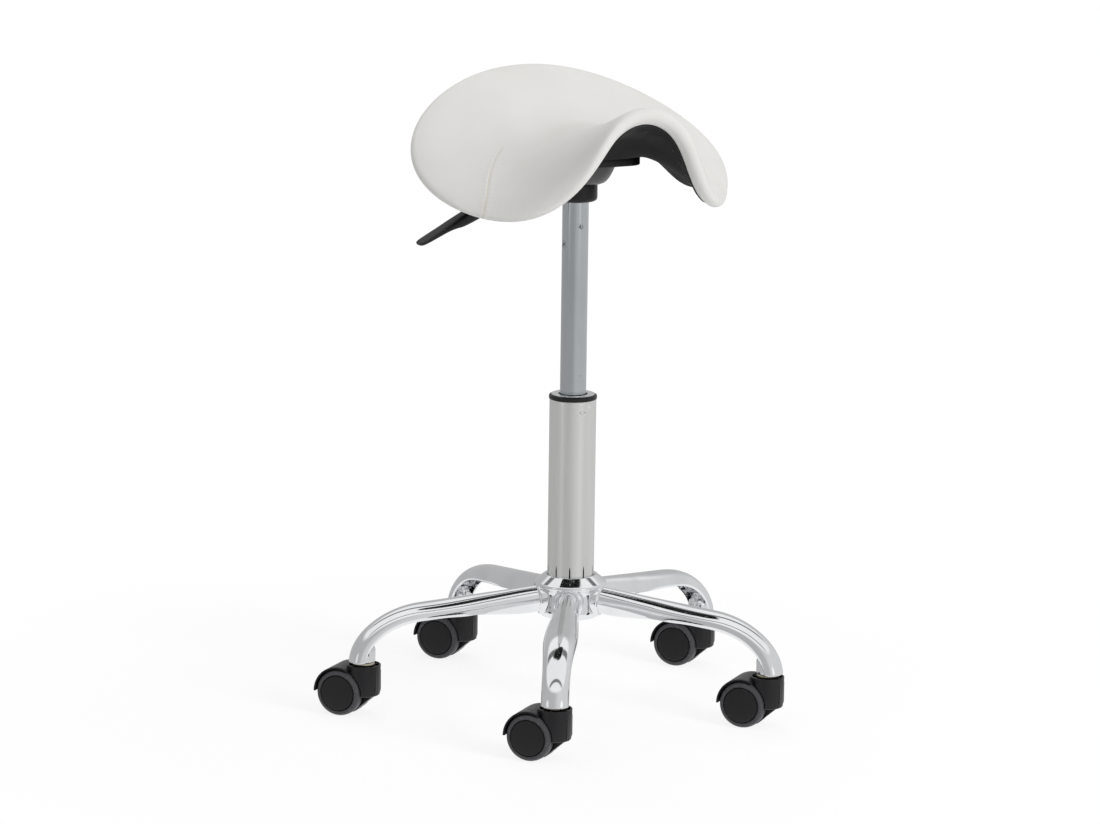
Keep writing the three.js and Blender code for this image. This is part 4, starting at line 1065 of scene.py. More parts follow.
def arm_shape(stations):
    """An arm along X, with the socket for its caster at its end."""
    line = arm_crown(stations)
    tangents = np.gradient(line, axis=0)
    tangents /= np.linalg.norm(tangents, axis=1)[:, None]
    tangents[-1] = (0, -1)
    rings = [arm_section(p, t) for p, t in zip(line, tangents)]
    # The open end is softened with one more, slightly smaller section
    last = rings[-1]
    centre = last.mean(axis=0)
    rings[-1] = last + np.array([0, 0, 0.7])
    rings.append(centre + (last - centre) * np.array([MOUTH_SHARE, MOUTH_SHARE, 1]))
    profile = [(8.9, 0), (12, 0, 0.8), (12, 14.5, 2), (6.2, 24, 2), (0, 24.4), (0, 21), (8.9, 21)]
    socket = turned_ring(profile, 0.4, 56)
    return joined(skin(rings), moved(socket, 0, (ARM_CIRCLE, 0, ARM_END)))


# The hub as radius, height and the rounding of each corner
HUB_PROFILE = [
    (25.3, 143.8, 0.2), (26.4, 144.9, 0.4), (28, 144.7, 1.2), (38.3, 136.4, 1.2), (38.5, 133.4, 0.9),
    (33.2, 128.2, 4), (32.8, 116, 4), (33.2, 105, 2.5), (30.6, 99, 1.6), (25.3, 99, 0.2),
]


def arm_root(grow):
    """The section of an arm at its root, and the direction in which it leaves the hub."""
    line = arm_crown(60)
    along = line[1] - line[0]
    along /= np.linalg.norm(along)
    return arm_section(line[0], along, grow, channel=False), np.array([along[0], 0, along[1]])


def hub_shape():
    """The hub, with a hole for each arm."""
    root, along = arm_root(FIT)
    hole = skin([root - along * 8, root + along * 20])
    cuts = [("DIFFERENCE", moved(hole, arm_turn(i))) for i in CASTERS]
    return carved(turned_ring(HUB_PROFILE, 1.0, 160, 5), cuts, bevel=0.5, angle=32)


# The collar round an arm's root as reach and how far it stands off the arm, and its greatest height
COLLAR = ((28, 3.6), (35.5, 3.6), (37, 3.2), (38, 2.4), (38.4, 1.4), (38.2, 0.6), (37.4, 0.35), (28, 0.35))
COLLAR_TOP = 134.6
BEAD_REACH = 37.9


def boss_shape():
    """The collar that the hub grows round an arm's root, with a rounded mouth."""
    rings = []
    for reach, grow in COLLAR:
        root, along = arm_root(grow)
        ring = root + along * (reach - ARM_START)
        ring[:, 2] = np.minimum(ring[:, 2], COLLAR_TOP)
        rings.append(ring)
    return skin(rings, looped=True)


def bead_path():
    """The closed line round an arm where it leaves its collar."""
    root, along = arm_root(0.2)
    path = root + along * (BEAD_REACH - ARM_START)
    for _ in range(4):
        path = 0.5 * path + 0.25 * (np.roll(path, 1, 0) + np.roll(path, -1, 0))
    return np.vstack([path, path[:1]])


COLUMN_RADIUS = 25.0
COLUMN_BORE = 23.5
COLUMN_FOOT = 102.0
COLUMN_TOP = 336.0
COLUMN_FLOOR = 3.0
COLUMN_FLOOR_BORE = 4.7
EDGE_ROUND = 0.4

# Ten creases are pressed into the column over the hub: the turn of one of them in degrees, and their foot
CREASES = 10
CREASE_PITCH = 2 * math.pi / CREASES
CREASE_TURN = -92.2
CREASE_FOOT = 144.5

# Small round press marks under the column's rim: turn in degrees, height, radius and depth
PRESS_MARKS = ((25, 325.4, 2.7, 1.2), (44, 328.6, 1.5, 0.5))


def off_crease(turn):
    """The angle from a turn round the column to the nearest crease."""
    seen = math.radians(CREASE_TURN + VIEW_TURN)
    return (turn - seen + CREASE_PITCH / 2) % CREASE_PITCH - CREASE_PITCH / 2


def paint_crease_shade(mesh):
    """Notes on each point of the column how deep in a crease it lies, for the finish to darken there as
    painted shade.
    """
    points = (shape_of(mesh)[0] - AXIS) / MM
    across = off_crease(np.arctan2(points[:, 1], points[:, 0])) * COLUMN_RADIUS
    fade = 1 - smoothstep(points[:, 2], CREASE_FOOT + 6, CREASE_FOOT + 16.5)
    marks = mesh.attributes.new("crease", "FLOAT", "POINT")
    marks.data.foreach_set("value", (fade * trough(across, 0.3 + 0.5 * fade)).astype(np.float32))


def column_shape(crease_depth, crease_width):
    """The column: ten pressed creases round its foot, and small press marks near its top."""
    # More points stand near the creases than between them
    share = np.linspace(-0.5, 0.5, 40, endpoint=False)
    fan = np.sign(share) * np.abs(2 * share) ** 1.8 / 2 * CREASE_PITCH
    first = math.radians(CREASE_TURN + VIEW_TURN)
    angles = np.concatenate([first + i * CREASE_PITCH + fan for i in range(CREASES)]) % (2 * math.pi)
    angles.sort()
    heights = np.concatenate([
        [COLUMN_FOOT, COLUMN_FOOT + 0.6], np.linspace(120, 142, 4), np.linspace(143.5, 161, 26),
        np.linspace(170, 300, 6), np.linspace(310, 330, 32), [333, COLUMN_TOP - 0.8, COLUMN_TOP],
    ])
    levels = []
    for z in heights:
        fade = 1 - smoothstep(z, CREASE_FOOT + 7, CREASE_FOOT + 15)
        width = crease_width * (0.35 + 0.65 * fade)
        crease = crease_depth * fade * trough(off_crease(angles) * COLUMN_RADIUS, width) * float(z > 140)
        mark = 0
        for turn, height, radius, depth in PRESS_MARKS:
            across = angles - math.radians(turn - 90 + VIEW_TURN)
            across = ((across + math.pi) % (2 * math.pi) - math.pi) * COLUMN_RADIUS
            from_edge = np.hypot(across, z - height) - radius
            mark = mark + depth * trough(from_edge, 0.7) * (z < height + 0.8)
        rounding = EDGE_ROUND if z in (COLUMN_FOOT, COLUMN_TOP) else 0
        levels.append((COLUMN_RADIUS - crease - mark - rounding, z))
    floor = COLUMN_FOOT + COLUMN_FLOOR
    levels += [(COLUMN_BORE, COLUMN_TOP), (COLUMN_BORE, floor)]
    levels += [(COLUMN_FLOOR_BORE, floor), (COLUMN_FLOOR_BORE, COLUMN_FOOT)]
    return skin([ring_round(r, z, angles) for r, z in levels], looped=True)


# The bush, its washer, the pressure tube and the shroud as radius, height and the rounding of each corner
BUSH_BORE = 14.25
BUSH_TOP = 341.3
TUBE_FOOT = 295.0
TUBE_TOP = 584.1
SHROUD_FOOT = 549.3
SHROUD_TOP = 567.6
BUSH_PROFILE = [
    (BUSH_BORE, 270), (23.2, 270), (23.2, COLUMN_TOP + 0.2, 0.1), (25.7, COLUMN_TOP + 0.3, 0.3),
    (25.7, BUSH_TOP - 1.3, 0.9), (23.6, BUSH_TOP, 0.6), (15.6, BUSH_TOP, 0.5), (BUSH_BORE, BUSH_TOP - 1.7),
]
WASHER_PROFILE = [
    (15.8, BUSH_TOP - 0.7), (23.3, BUSH_TOP - 0.7), (23.3, BUSH_TOP + 0.2), (15.8, BUSH_TOP + 0.2),
]
TUBE_PROFILE = [
    (5.2, TUBE_FOOT), (TUBE_RADIUS, TUBE_FOOT, 0.8), (TUBE_RADIUS, 566, 0.4), (13.1, TUBE_TOP, 0.8),
    (4.4, TUBE_TOP, 0.4), (4.4, 575), (11.6, 573), (12.5, 560), (12.5, TUBE_FOOT + 3), (5.2, TUBE_FOOT + 3),
]
SHROUD_PROFILE = [
    (14.8, SHROUD_FOOT), (20.2, SHROUD_FOOT, 0.4), (22.3, SHROUD_FOOT + 1.3, 0.8),
    (23, SHROUD_FOOT + 3.7, 0.8), (23, SHROUD_TOP, 0.4), (18.4, SHROUD_TOP),
    (18.4, SHROUD_TOP - 7), (14.8, SHROUD_TOP - 7),
]


# Seat form

SEAT_FRONT = 141.7
SEAT_REAR = 114.6
SEAT_LENGTH = SEAT_FRONT + SEAT_REAR
PLATE_TOP = 603.1
PLATE_HALF = (46.0, 68.0)
PAD_CROWN = 7.0
SEAT_LIP = 9.0
LIP_DEPTH = 3.0
SHELL_THICKNESS = 7.0
LINING_MARGIN = 14.0

# The seat's form from the rear to the front: how far its sides turn down, in radians, over what distance,
# half of its width along the surface, its height over the plate, its roundness in plan, how far its sides
# lean back at LEAN_AT from the middle, and the thickness of its rim
LEAN_AT = 150.0
DROOP = (0.44, 0.607, 1.34)
BEND = (246.0, 126.0)
HALF_SPAN = (235.5, 186.0, 148.4, 93.5)
CENTRE_RISE = (71.4, 26.9, 19.2, 55.6)
ROUNDNESS = (2.55, 4.65)
SWEEP = (-25.0, -21.5)
RIM = (16.8, 18.4)

# The bend is summed in so many steps
BEND_STEPS = 24

# The cover's rounding over the rim starts this far in, and how square it is
SOFT_EDGE = 20.0
SOFT_POWER = 2.3


def through_four(values, t):
    """The cubic through four values at even steps from nought to one."""
    at = [0, 1 / 3, 2 / 3, 1]
    total = 0
    for i in range(4):
        weight = 1
        for j in range(4):
            if j != i:
                weight = weight * (t - at[j]) / (at[i] - at[j])
        total = total + values[i] * weight
    return total


def through_three(values, t):
    """The parabola through three values at even steps from nought to one."""
    a, b, c = values
    return a * (1 - t) * (1 - 2 * t) + b * 4 * t * (1 - t) + c * t * (2 * t - 1)


def mid_surface(s, y):
    """The seat's middle surface: s runs across it from the centre line, y is the station."""
    s, y = np.asarray(s, float), np.asarray(y, float)
    t = (SEAT_REAR - y) / SEAT_LENGTH
    turn = through_three(DROOP, t)
    bend = BEND[0] + (BEND[1] - BEND[0]) * t
    step = np.abs(s) / BEND_STEPS
    x, drop = 0, 0
    for k in range(BEND_STEPS):
        r = np.minimum((k + 0.5) * step / bend, 1)
        slope = turn * r * (2 - r)
        x = x + np.cos(slope) * step
        drop = drop + np.sin(slope) * step
    lean = (s / LEAN_AT) ** 2 * (SWEEP[0] + (SWEEP[1] - SWEEP[0]) * t)
    rise = through_four(CENTRE_RISE, t)
    return np.stack([np.sign(s) * x, y + lean, PLATE_TOP + rise - drop], -1)


def unit(v):
    return v / np.linalg.norm(v, axis=-1, keepdims=True)


def surface_normal(s, y):
    step = 0.5
    across = mid_surface(s + step, y) - mid_surface(s - step, y)
    along = mid_surface(s, y + step) - mid_surface(s, y - step)
    return unit(np.cross(across, along))


def seat_point(s, y, height):
    height = np.asarray(height, float)
    return mid_surface(s, y) + surface_normal(s, y) * height[..., None]


def rim_half(y):
    return (RIM[0] + (RIM[1] - RIM[0]) * (SEAT_REAR - np.asarray(y, float)) / SEAT_LENGTH) / 2


def seat_outline(count):
    """The outline in (s, y), spread evenly along itself."""
    a = np.linspace(0, 2 * math.pi, 1441)
    t = 0.5 - 0.5 * np.cos(a)
    rear = np.maximum(1 - np.maximum(1 - 2 * t, 0) ** ROUNDNESS[0], 0) ** (1 / ROUNDNESS[0])
    front = np.maximum(1 - np.maximum(2 * t - 1, 0) ** ROUNDNESS[1], 0) ** (1 / ROUNDNESS[1])
    half = through_four(HALF_SPAN, t) * rear * front
    dense = np.stack([np.where(a <= math.pi, half, -half), SEAT_REAR - SEAT_LENGTH * t], 1)
    return evenly(dense, count, endpoint=False)


RIM_CENTRE = np.array([0, (SEAT_REAR - SEAT_FRONT) / 2])


def drawn_in(outline, width):
    """An outline moved a width towards the middle."""
    away = RIM_CENTRE - outline
    return outline + away * (width / np.linalg.norm(away, axis=1))[:, None]


def ring_at(outline, share, height):
    """A ring over a share of an outline, at a height off the middle surface that depends on the station."""
    q = RIM_CENTRE + (outline - RIM_CENTRE) * share
    return seat_point(q[:, 0], q[:, 1], height(q[:, 1]))


def at_middle(y):
    return y * 0


def rim_ring(outline, angle, inset=0.0):
    """A ring round the rounded rim; a right angle up is its top, and down its underside."""
    edge = ring_at(outline, 1, at_middle)
    normal = surface_normal(outline[:, 0], outline[:, 1])
    outwards = unit(np.cross(np.roll(edge, -1, 0) - np.roll(edge, 1, 0), normal))
    middle = mid_surface(*RIM_CENTRE)
    outwards *= np.sign(np.sum(outwards * (edge - middle), 1))[:, None]
    half = (rim_half(outline[:, 1]) - inset)[:, None]
    return edge + outwards * half * math.cos(angle) + normal * half * math.sin(angle)


def shell_foot(y):
    return LIP_DEPTH - rim_half(y)


def recess_roof(y):
    return shell_foot(y) + SHELL_THICKNESS + FIT


def pad_rings(outline, inset):
    """Rings of the pad from the middle of its top, over the rim and the lip, into its recess."""
    reach = np.linalg.norm(outline - RIM_CENTRE, axis=1)
    edge_share = 1 - SOFT_EDGE / reach

    def top(shares):
        q = RIM_CENTRE + (outline - RIM_CENTRE) * shares[:, None]
        return q, rim_half(q[:, 1]) - inset + PAD_CROWN * (1 - shares**2)

    rings = []
    for f in np.concatenate([[0.02], np.linspace(0.07, 1, 24)]):
        q, height = top(edge_share * f)
        rings.append(seat_point(q[:, 0], q[:, 1], height))
    span = SOFT_EDGE + rim_half(outline[:, 1]) - inset
    rim = rim_ring(outline, 0, inset)
    straight = rim_ring(outline, math.pi / 2, inset)
    middle = ring_at(outline, 1, at_middle)
    for a in np.radians(np.linspace(84, 6, 14)):
        inwards = SOFT_EDGE - span * math.cos(a) ** (2 / SOFT_POWER)
        rise = math.sin(a) ** (2 / SOFT_POWER)
        q, height = top(1 - np.maximum(inwards, 0) / reach)
        over = seat_point(q[:, 0], q[:, 1], height * rise)
        outwards = unit(rim - middle) * np.maximum(-inwards, 0)[:, None]
        past = middle + outwards + (straight - middle) * rise
        rings.append(np.where((inwards > 0)[:, None], over, past))
    rings += [rim_ring(outline, a, inset) for a in np.linspace(0, -math.pi / 2, 8)]
    pinned_from = len(rings) - 2
    for width in (3.0, 6.0, SEAT_LIP - 0.8):
        rings.append(ring_at(drawn_in(outline, width), 1, lambda y: -rim_half(y)))
    lip = drawn_in(outline, SEAT_LIP)
    rings.append(ring_at(lip, 1, lambda y: 0.8 - rim_half(y)))
    rings.append(ring_at(lip, 1, recess_roof))
    margin = drawn_in(outline, SEAT_LIP + LINING_MARGIN)
    rings += [ring_at(margin, share, recess_roof) for share in (1, 0.86, 0.72, 0.56, 0.4, 0.24, 0.08)]
    return np.array(rings), pinned_from


# How far the cover starts inside the rim, so that the foam can press it out
SLACK = 0.8

# The cloth simulation runs for so many frames
SWELL_FRAMES = 18


def pad_mesh(settings):
    """The pad before its seams: the foam presses the pinned cover out, and the cover pulls it even."""
    outline = seat_outline(settings.around)
    rings, pinned_from = pad_rings(outline, SLACK)
    points, faces = skin(rings, caps=False)
    faces += strip_caps(len(rings), settings.around)
    obj = linked("seat_cushion", mesh_of((points, faces), "seat_cushion", MM, AXIS))
    swell(obj, rings[pinned_from:].reshape(-1, 3), settings)
    return obj, outline


def swell(obj, pinned_points, settings):
    """Cloth under pressure, held where the cover is stapled, with a limit on how far it may move."""
    start, _ = shape_of(obj.data)
    targets = {tuple(np.round(p * MM + AXIS, 6)) for p in pinned_points}
    group = obj.vertex_groups.new(name="stapled")
    group.add([i for i, p in enumerate(start) if tuple(np.round(p, 6)) in targets], 1.0, "REPLACE")
    modifier = obj.modifiers.new("cover", "CLOTH")
    cloth = modifier.settings
    cloth.quality = 4
    cloth.mass = 0.4
    cloth.tension_stiffness = cloth.compression_stiffness = 30
    cloth.shear_stiffness = 12
    cloth.bending_stiffness = 4
    cloth.use_pressure = True
    cloth.uniform_pressure_force = settings.pressure
    cloth.vertex_group_mass = group.name
    cloth.effector_weights.gravity = 0
    modifier.collision_settings.use_collision = False
    modifier.point_cache.frame_start = 1
    modifier.point_cache.frame_end = SWELL_FRAMES
    scene = bpy.context.scene
    for step in range(SWELL_FRAMES):
        scene.frame_set(step + 1)
    move = shape_of(evaluated(obj))[0] - start
    scene.frame_set(1)
    obj.modifiers.remove(modifier)
    obj.vertex_groups.clear()
    length = np.linalg.norm(move, axis=1)
    limit = settings.swell_limit
    move *= (limit * np.tanh(length / limit) / np.maximum(length, 1e-9))[:, None]
    obj.data.vertices.foreach_set("co", (start + move).ravel())
    obj.data.update()


# The part of the seam's path that shows stitches, and how proud they stand
STITCHED = slice(6, -8)
STITCH_LIFT = 0.1

# The dart seam on the top as (s, station), and where it goes over the rim
SEAM = ((93, -1), (97.5, -3.5), (117.5, -11.5), (134, -22), (147.5, -32))
SEAM_AT_RIM = (152, -36)

# The pad's crown has fallen to nothing this far out along the seam
CROWN_REACH = 150


def seam_path(outline, side):
    """A dart seam: it starts on the top, runs out over the flap, round the rim and under it."""
    s, y = through(SEAM, 40).T
    height = rim_half(y) + PAD_CROWN * (1 - np.minimum(s / CROWN_REACH, 1) ** 2)
    path = list(seat_point(side * s, y, height))
    k = int(np.argmin(np.hypot(outline[:, 0] - side * SEAM_AT_RIM[0], outline[:, 1] - SEAM_AT_RIM[1])))
    path += [rim_ring(outline, a)[k] for a in np.radians(np.linspace(70, -85, 14))]
    path.append(ring_at(drawn_in(outline, SEAT_LIP - 2), 1, lambda y: -rim_half(y))[k])
    return evenly(eased(path, 6), 160)


def laid_on(obj, path, lift):
    """A path in millimetres laid on the surface of a finished mesh and lifted off it."""
    tree = BVHTree.FromPolygons([v.co for v in obj.data.vertices], [f.vertices for f in obj.data.polygons])
    out = []
    for p in path:
        place, normal, _, _ = tree.find_nearest(Vector(p * MM + AXIS))
        out.append((np.array(place) - AXIS) / MM + np.array(normal) * lift)
    return np.array(out)


def nearest_on(seam, points):
    """Distance from each point to a seam, and how far along it, in steps, the nearest place is."""
    gaps = np.full(len(points), np.inf)
    steps = np.zeros(len(points), int)
    inside = (points > seam.min(0) - SEAM_REACH) & (points < seam.max(0) + SEAM_REACH)
    near = np.where(inside.all(axis=1))[0]
    if len(near):
        away = np.linalg.norm(points[near, None, :] - seam[None, :, :], axis=2)
        gaps[near] = away.min(axis=1)
        steps[near] = away.argmin(axis=1)
    return gaps, steps


# Points further than this from a seam are left alone, and faces nearer than each of these are split in turn
SEAM_REACH = 20
SPLIT_WITHIN = (11.0, 6.0, 3.2)


def sculpt(obj, seams, settings):
    """Presses the sewn seams into the cover, with a low swell and puckers beside them."""
    bm = bmesh.new()
    bm.from_mesh(obj.data)
    for reach in SPLIT_WITHIN:
        edges = list(bm.edges)
        middles = (np.array([(e.verts[0].co + e.verts[1].co) / 2 for e in edges]) - AXIS) / MM
        gap = np.minimum.reduce([nearest_on(seam, middles)[0] for seam in seams])
        near = [edge for edge, g in zip(edges, gap) if g < reach]
        bmesh.ops.subdivide_edges(bm, edges=near, cuts=1, use_grid_fill=True)
    bmesh.ops.triangulate(bm, faces=[f for f in bm.faces if len(f.verts) > 4])
    bm.normal_update()
    places = np.array([v.co for v in bm.verts])
    normals = np.array([v.normal for v in bm.verts])
    points = (places - AXIS) / MM
    shift = np.zeros(len(points))
    for seam in seams:
        gap, step = nearest_on(seam, points)
        fade = smoothstep(step, 0, 30)
        shift -= settings.seam_depth / MM * fade * trough(gap, 0.9)
        shift += 0.2 * fade * trough(gap - 3.2, 2.2)
        shift += 0.08 * fade * np.sin(step * 0.9) * trough(gap - 5, 3.5)
    places += normals * (shift * MM)[:, None]
    for v, place in zip(bm.verts, places):
        v.co = place
    bm.to_mesh(obj.data)
    bm.free()


# Operators


def finish_for(name, maker, *values):
    """A finish by name, made the first time that it is asked for."""
    return bpy.data.materials.get(name) or maker(*values)


class STOOL_OT_casters(bpy.types.Operator):
    """Builds the five twin-wheel casters: housing with ribs, wheels, tyres, stem and bearing ring"""

    bl_idname = "stool.casters"
    bl_label = "Casters"

    def execute(self, context):
        s = context.scene.stool_casters
        housing_black = moulded_black("housing_black", tuple(s.housing_colour), 0.27)
        cap_black = moulded_black("cap_black", tuple(s.cap_colour), 0.42, 0.5, 0.15)
        grey = tyre_grey(tuple(s.tyre_colour))
        zinc = finish_for("zinc_plate", zinc_plate)
        cream = cream_nylon(tuple(s.ring_colour))
        rib, anywhere = rib_shape(s.rib_thickness / MM), [(0, 0, 0), (1, 0, 0)]
        ribs = with_unit(ring_recipe(), rib, anywhere, count=s.rib_count, finish=housing_black)
        housing = joined(housing_shape(), ribs)
        core, tyre = core_shape(s.cap_rise / MM), tyre_shape(s.tread_round / MM)
        for i in CASTERS:
            body = f"caster_{i}"

            def put(name, shape, finish, on, node, angle=35):
                piece(f"{body}_{name}", caster_place(shape, i), finish, on, [f"{body}_{node}"], angle)

            put("fork", housing, housing_black, body, "housing", 30)
            for side, way in (("left", 1), ("right", -1)):
                wheel = f"{side}_wheel"
                hub, tread = along_y(core, AXLE_PLACE, way), along_y(tyre, AXLE_PLACE, way)
                on = f"{body}_{wheel}"
                put(f"{wheel}_cap", hub, cap_black, on, f"wheel_{side}", 30)
                put(f"{wheel}_tread", tread, grey, on, f"tyre_{side}", 40)
            put("pin", stem_shape(), zinc, "base", "stem")
            put("ring", ring_shape(), cream, "base", "stem")
            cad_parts[f"{body}_axle"].data.materials[0] = zinc
        return {"FINISHED"}


class STOOL_OT_arms(bpy.types.Operator):
    """Builds the five pressed arms, round at the hub and open underneath at the knee"""

    bl_idname = "stool.arms"
    bl_label = "Arms"

    def execute(self, context):
        s = context.scene.stool_base
        chrome = finish_for("polished_chrome", polished_chrome, tuple(s.chrome_colour))
        shape = arm_shape(s.arm_stations)
        for i in CASTERS:
            piece(f"leg_{i}", moved(shape, arm_turn(i)), chrome, "base", [f"arm_{i}"], 38)
        return {"FINISHED"}


class STOOL_OT_hub(bpy.types.Operator):
    """Builds the cast hub, with a bead swept round the root of each arm"""

    bl_idname = "stool.hub"
    bl_label = "Hub"

    def execute(self, context):
        s = context.scene.stool_base
        chrome = finish_for("polished_chrome", polished_chrome, tuple(s.chrome_colour))
        bead = swept_recipe().run(bead_path(), thickness=s.collar_thickness / MM, sides=12, finish=chrome)
        collar = joined(boss_shape(), bead)
        collars = [moved(collar, arm_turn(i)) for i in CASTERS]
        piece("hub_casting", joined(hub_shape(), *collars), chrome, "base", ["hub"], 32)
        return {"FINISHED"}


class STOOL_OT_column(bpy.types.Operator):
    """Builds the column, its guide bush and the gas lift inside them"""

    bl_idname = "stool.column"
    bl_label = "Column and gas lift"

    def execute(self, context):
        s = context.scene.stool_column
        column = drawn_chrome(tuple(s.column_colour))
        outer = column_shape(s.crease_depth / MM, s.crease_width / MM)
        outer = piece("column_outer", outer, column, "base", ["column_tube"], 50)
        # The crease attribute carries painted shade for the column's creases
        paint_crease_shade(outer.data)
        plastic = moulded_black("bush_black", tuple(s.plastic_colour), 0.34)
        piece("column_bush", turned_ring(BUSH_PROFILE), plastic, "base", ["guide_bush"])
        chrome = finish_for("polished_chrome", polished_chrome, tuple(context.scene.stool_base.chrome_colour))
        piece("bush_washer", turned_ring(WASHER_PROFILE, 0.25), chrome, "base")
        steel = satin_steel(tuple(s.tube_colour))
        piece("lift_tube", turned_ring(TUBE_PROFILE), steel, "seat", ["pressure_tube"])
        zinc = finish_for("zinc_plate", zinc_plate)
        clip = powder_coat("clip_black", tone("1d1d1f"), 0.35)
        hidden = {"piston_rod": steel, "thrust_bearing": zinc, "release_button": zinc, "retaining_clip": clip}
        for node, finish in hidden.items():
            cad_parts[node].data.materials[0] = finish
        piece("lift_shroud", turned_ring(SHROUD_PROFILE), plastic, "seat", ["shroud"])
        return {"FINISHED"}


# The pan and the plate: the taper socket is a radius, a foot and a top, and a rib of the plate is its place,
# half of its length and half of its width
PAN_FLOOR = 568.1
PAN_WALL = 2.5
PAN_RISE = 32.0
PAN_RADIUS = 25.0
TAPER_SOCKET = (18.0, 561.1, 585.1)
EAR_GAP = 6.7
EAR_THICKNESS = 2.5
PIVOT = (-24.0, 588.1)
PIVOT_PLACE = (PIVOT[0], 0, PIVOT[1])
PIN_HALF = 9.6
PLATE_UNDER = 600.1
PLATE_CORNER = 18.0
PLATE_RIM = 10.0
PLATE_RIB = (33.5, 34.0, 1.5)
BOLT_TURN = 0.4
LEVER_SLOPE = 24.5
LEVER_DROP = math.tan(math.radians(LEVER_SLOPE))
LEVER_ROD = 8.0

# The grip: where it starts along the lever, its length, half of its width, half of its thickness at its tip
# and its root, and how square it is. A key is a place along it, and shares of its width and of its thickness
# over and under the lever's line
GRIP_REACH = 84.0
GRIP_LENGTH = 78.0 / math.cos(math.radians(LEVER_SLOPE))
GRIP_HALF = 10.5
GRIP_TIP = 1.8
GRIP_ROOT = 6.75
GRIP_SQUARE = 0.55
GRIP_KEYS = (
    (0, 0.62, 0.84, 0.84), (0.012, 0.72, 0.92, 0.92), (0.05, 0.8, 1, 1), (0.22, 0.86, 1, 1),
    (0.4, 0.94, 0.82, 0.74), (0.5, 1, 0.68, 0.26), (0.62, 1, 0.5, -0.12), (0.8, 1, 0.3, -0.22),
    (0.93, 0.92, 0.18, -0.2), (0.985, 0.72, 0.1, -0.2), (1, 0.45, 0, -0.2),
)


def steel_coat(colour):
    return finish_for("steel_coat", powder_coat, "steel_coat", tuple(colour), 0.3)


class STOOL_OT_mechanism(bpy.types.Operator):
    """Builds the pressed pan, the mounting plate and its four bolts"""

    bl_idname = "stool.mechanism"
    bl_label = "Pan, plate and bolts"

    def execute(self, context):
        s = context.scene.stool_lever
        # The pan's paler grey is partly the coat and partly painted reflection of the floor
        pan = powder_coat("pan_coat", tuple(s.pan_colour_and_reflection), 0.3)
        black = steel_coat(s.steel_colour)
        piece("seat_pan", self.pan(), pan, "seat", ["mechanism_pan"], 32)
        piece("seat_plate", self.plate(), black, "seat", ["mount_plate"], 32)
        zinc = finish_for("zinc_plate", zinc_plate)
        for i in range(1, 5):
            low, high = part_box(f"seat_bolt_{i}")
            centre = (np.array((low + high) / 2) - AXIS) / MM
            bolt = moved(self.bolt(), BOLT_TURN * i, (centre[0], centre[1], 0))
            piece(f"plate_screw_{i}", bolt, zinc, "seat", [f"seat_bolt_{i}"], 30)
        return {"FINISHED"}

    def pan(self):
        """A dish that grows from a round floor to a long opening, with ears for the pivot pin."""

        def level(rise, inset):
            t = math.sqrt(min(max(rise / PAN_RISE, 0), 1))
            half_x = PAN_RADIUS + 2.5 * t - inset
            half_y = PAN_RADIUS + 31 * t - inset
            corner = min(half_x, half_y) - 0.5 - t * 8
            return at_height(rounded_rectangle(half_x, half_y, corner, 14), PAN_FLOOR + rise)

        mouth = PAN_RISE - 0.3
        outside = [level(0, 4.5), level(0.25, 2.2), level(1.1, 0.9), level(2.4, 0.2)]
        outside += [level(r, 0) for r in np.linspace(4, mouth, 16)]
        inside = [level(r, PAN_WALL) for r in np.linspace(mouth, 5, 16)] + [level(PAN_WALL, PAN_WALL + 3)]
        slot = block((-40, -EAR_GAP, PAN_FLOOR - 2), (-17.2, EAR_GAP, 604))
        bore = turned([(0, 550), (14.3, 550), (14.3, 568), (13.5, 587), (0, 587)], 64)
        shell = carved(skin(outside + inside), [
            ("UNION", cylinder(*TAPER_SOCKET, 64)), ("DIFFERENCE", bore), ("DIFFERENCE", slot)], bevel=0.35)
        ears = [block((-29, y, PAN_FLOOR + 0.5), (-19, y + EAR_THICKNESS, PIVOT[1] + 5))
                for y in (EAR_GAP, -EAR_GAP - EAR_THICKNESS)]
        pin = cylinder(2.4, -PIN_HALF, PIN_HALF)
        heads = [turned(softened([(0, z), (3.8, z, 0.6), (3.8, z + 1.4, 0.6), (0, z + 1.4)], 0), 32)
                 for z in (-PIN_HALF - 1, PIN_HALF - 0.4)]
        return joined(shell, *ears, *[along_y(shape, PIVOT_PLACE) for shape in (pin, *heads)])

    def plate(self):
        """A pressed plate with a turned-down rim; its press radii are drawn as small rings."""
        thick = PLATE_TOP - PLATE_UNDER

        def ring(inset, z):
            half_x, half_y = (half - inset for half in PLATE_HALF)
            return at_height(rounded_rectangle(half_x, half_y, PLATE_CORNER - inset, 14), z)

        top, foot, under = PLATE_TOP, PLATE_TOP - PLATE_RIM, PLATE_UNDER
        rings = [ring(3.2, top), ring(1.6, top - 0.4), ring(0.5, top - 1.6), ring(0, top - 3.2)]
        rings += [ring(0, foot + 0.6), ring(0.5, foot), ring(thick - 0.5, foot), ring(thick, foot + 0.6)]
        rings += [ring(thick, under - 1.2), ring(thick + 0.5, under - 0.3), ring(thick + 1.5, under)]
        place, long, half = PLATE_RIB
        ribs = [block((x - half, -long, under - 1.4), (x + half, long, under + 0.2)) for x in (-place, place)]
        return joined(skin(rings), *ribs)

    def bolt(self):
        """A hexagon flange screw, point up through the plate, with a small dimple in its head."""
        hexagon = turned(softened([(0, -5), (5.6, -5, 0.5), (6.3, -4.4, 0.3), (6.3, -1.2), (0, -1.2)], 0), 6)
        flange = [(0, -1.3), (6.5, -1.1), (6.5, -0.2), (6.2, 0), (4, 0), (4, 8.4), (3.4, 9), (0, 9)]
        mark = turned([(0, -5.15), (1.8, -5.15), (1.9, -4.9), (0, -4.9)], 24)
        return moved(joined(hexagon, turned(flange, 40), mark), 0, (0, 0, PLATE_UNDER - FIT))


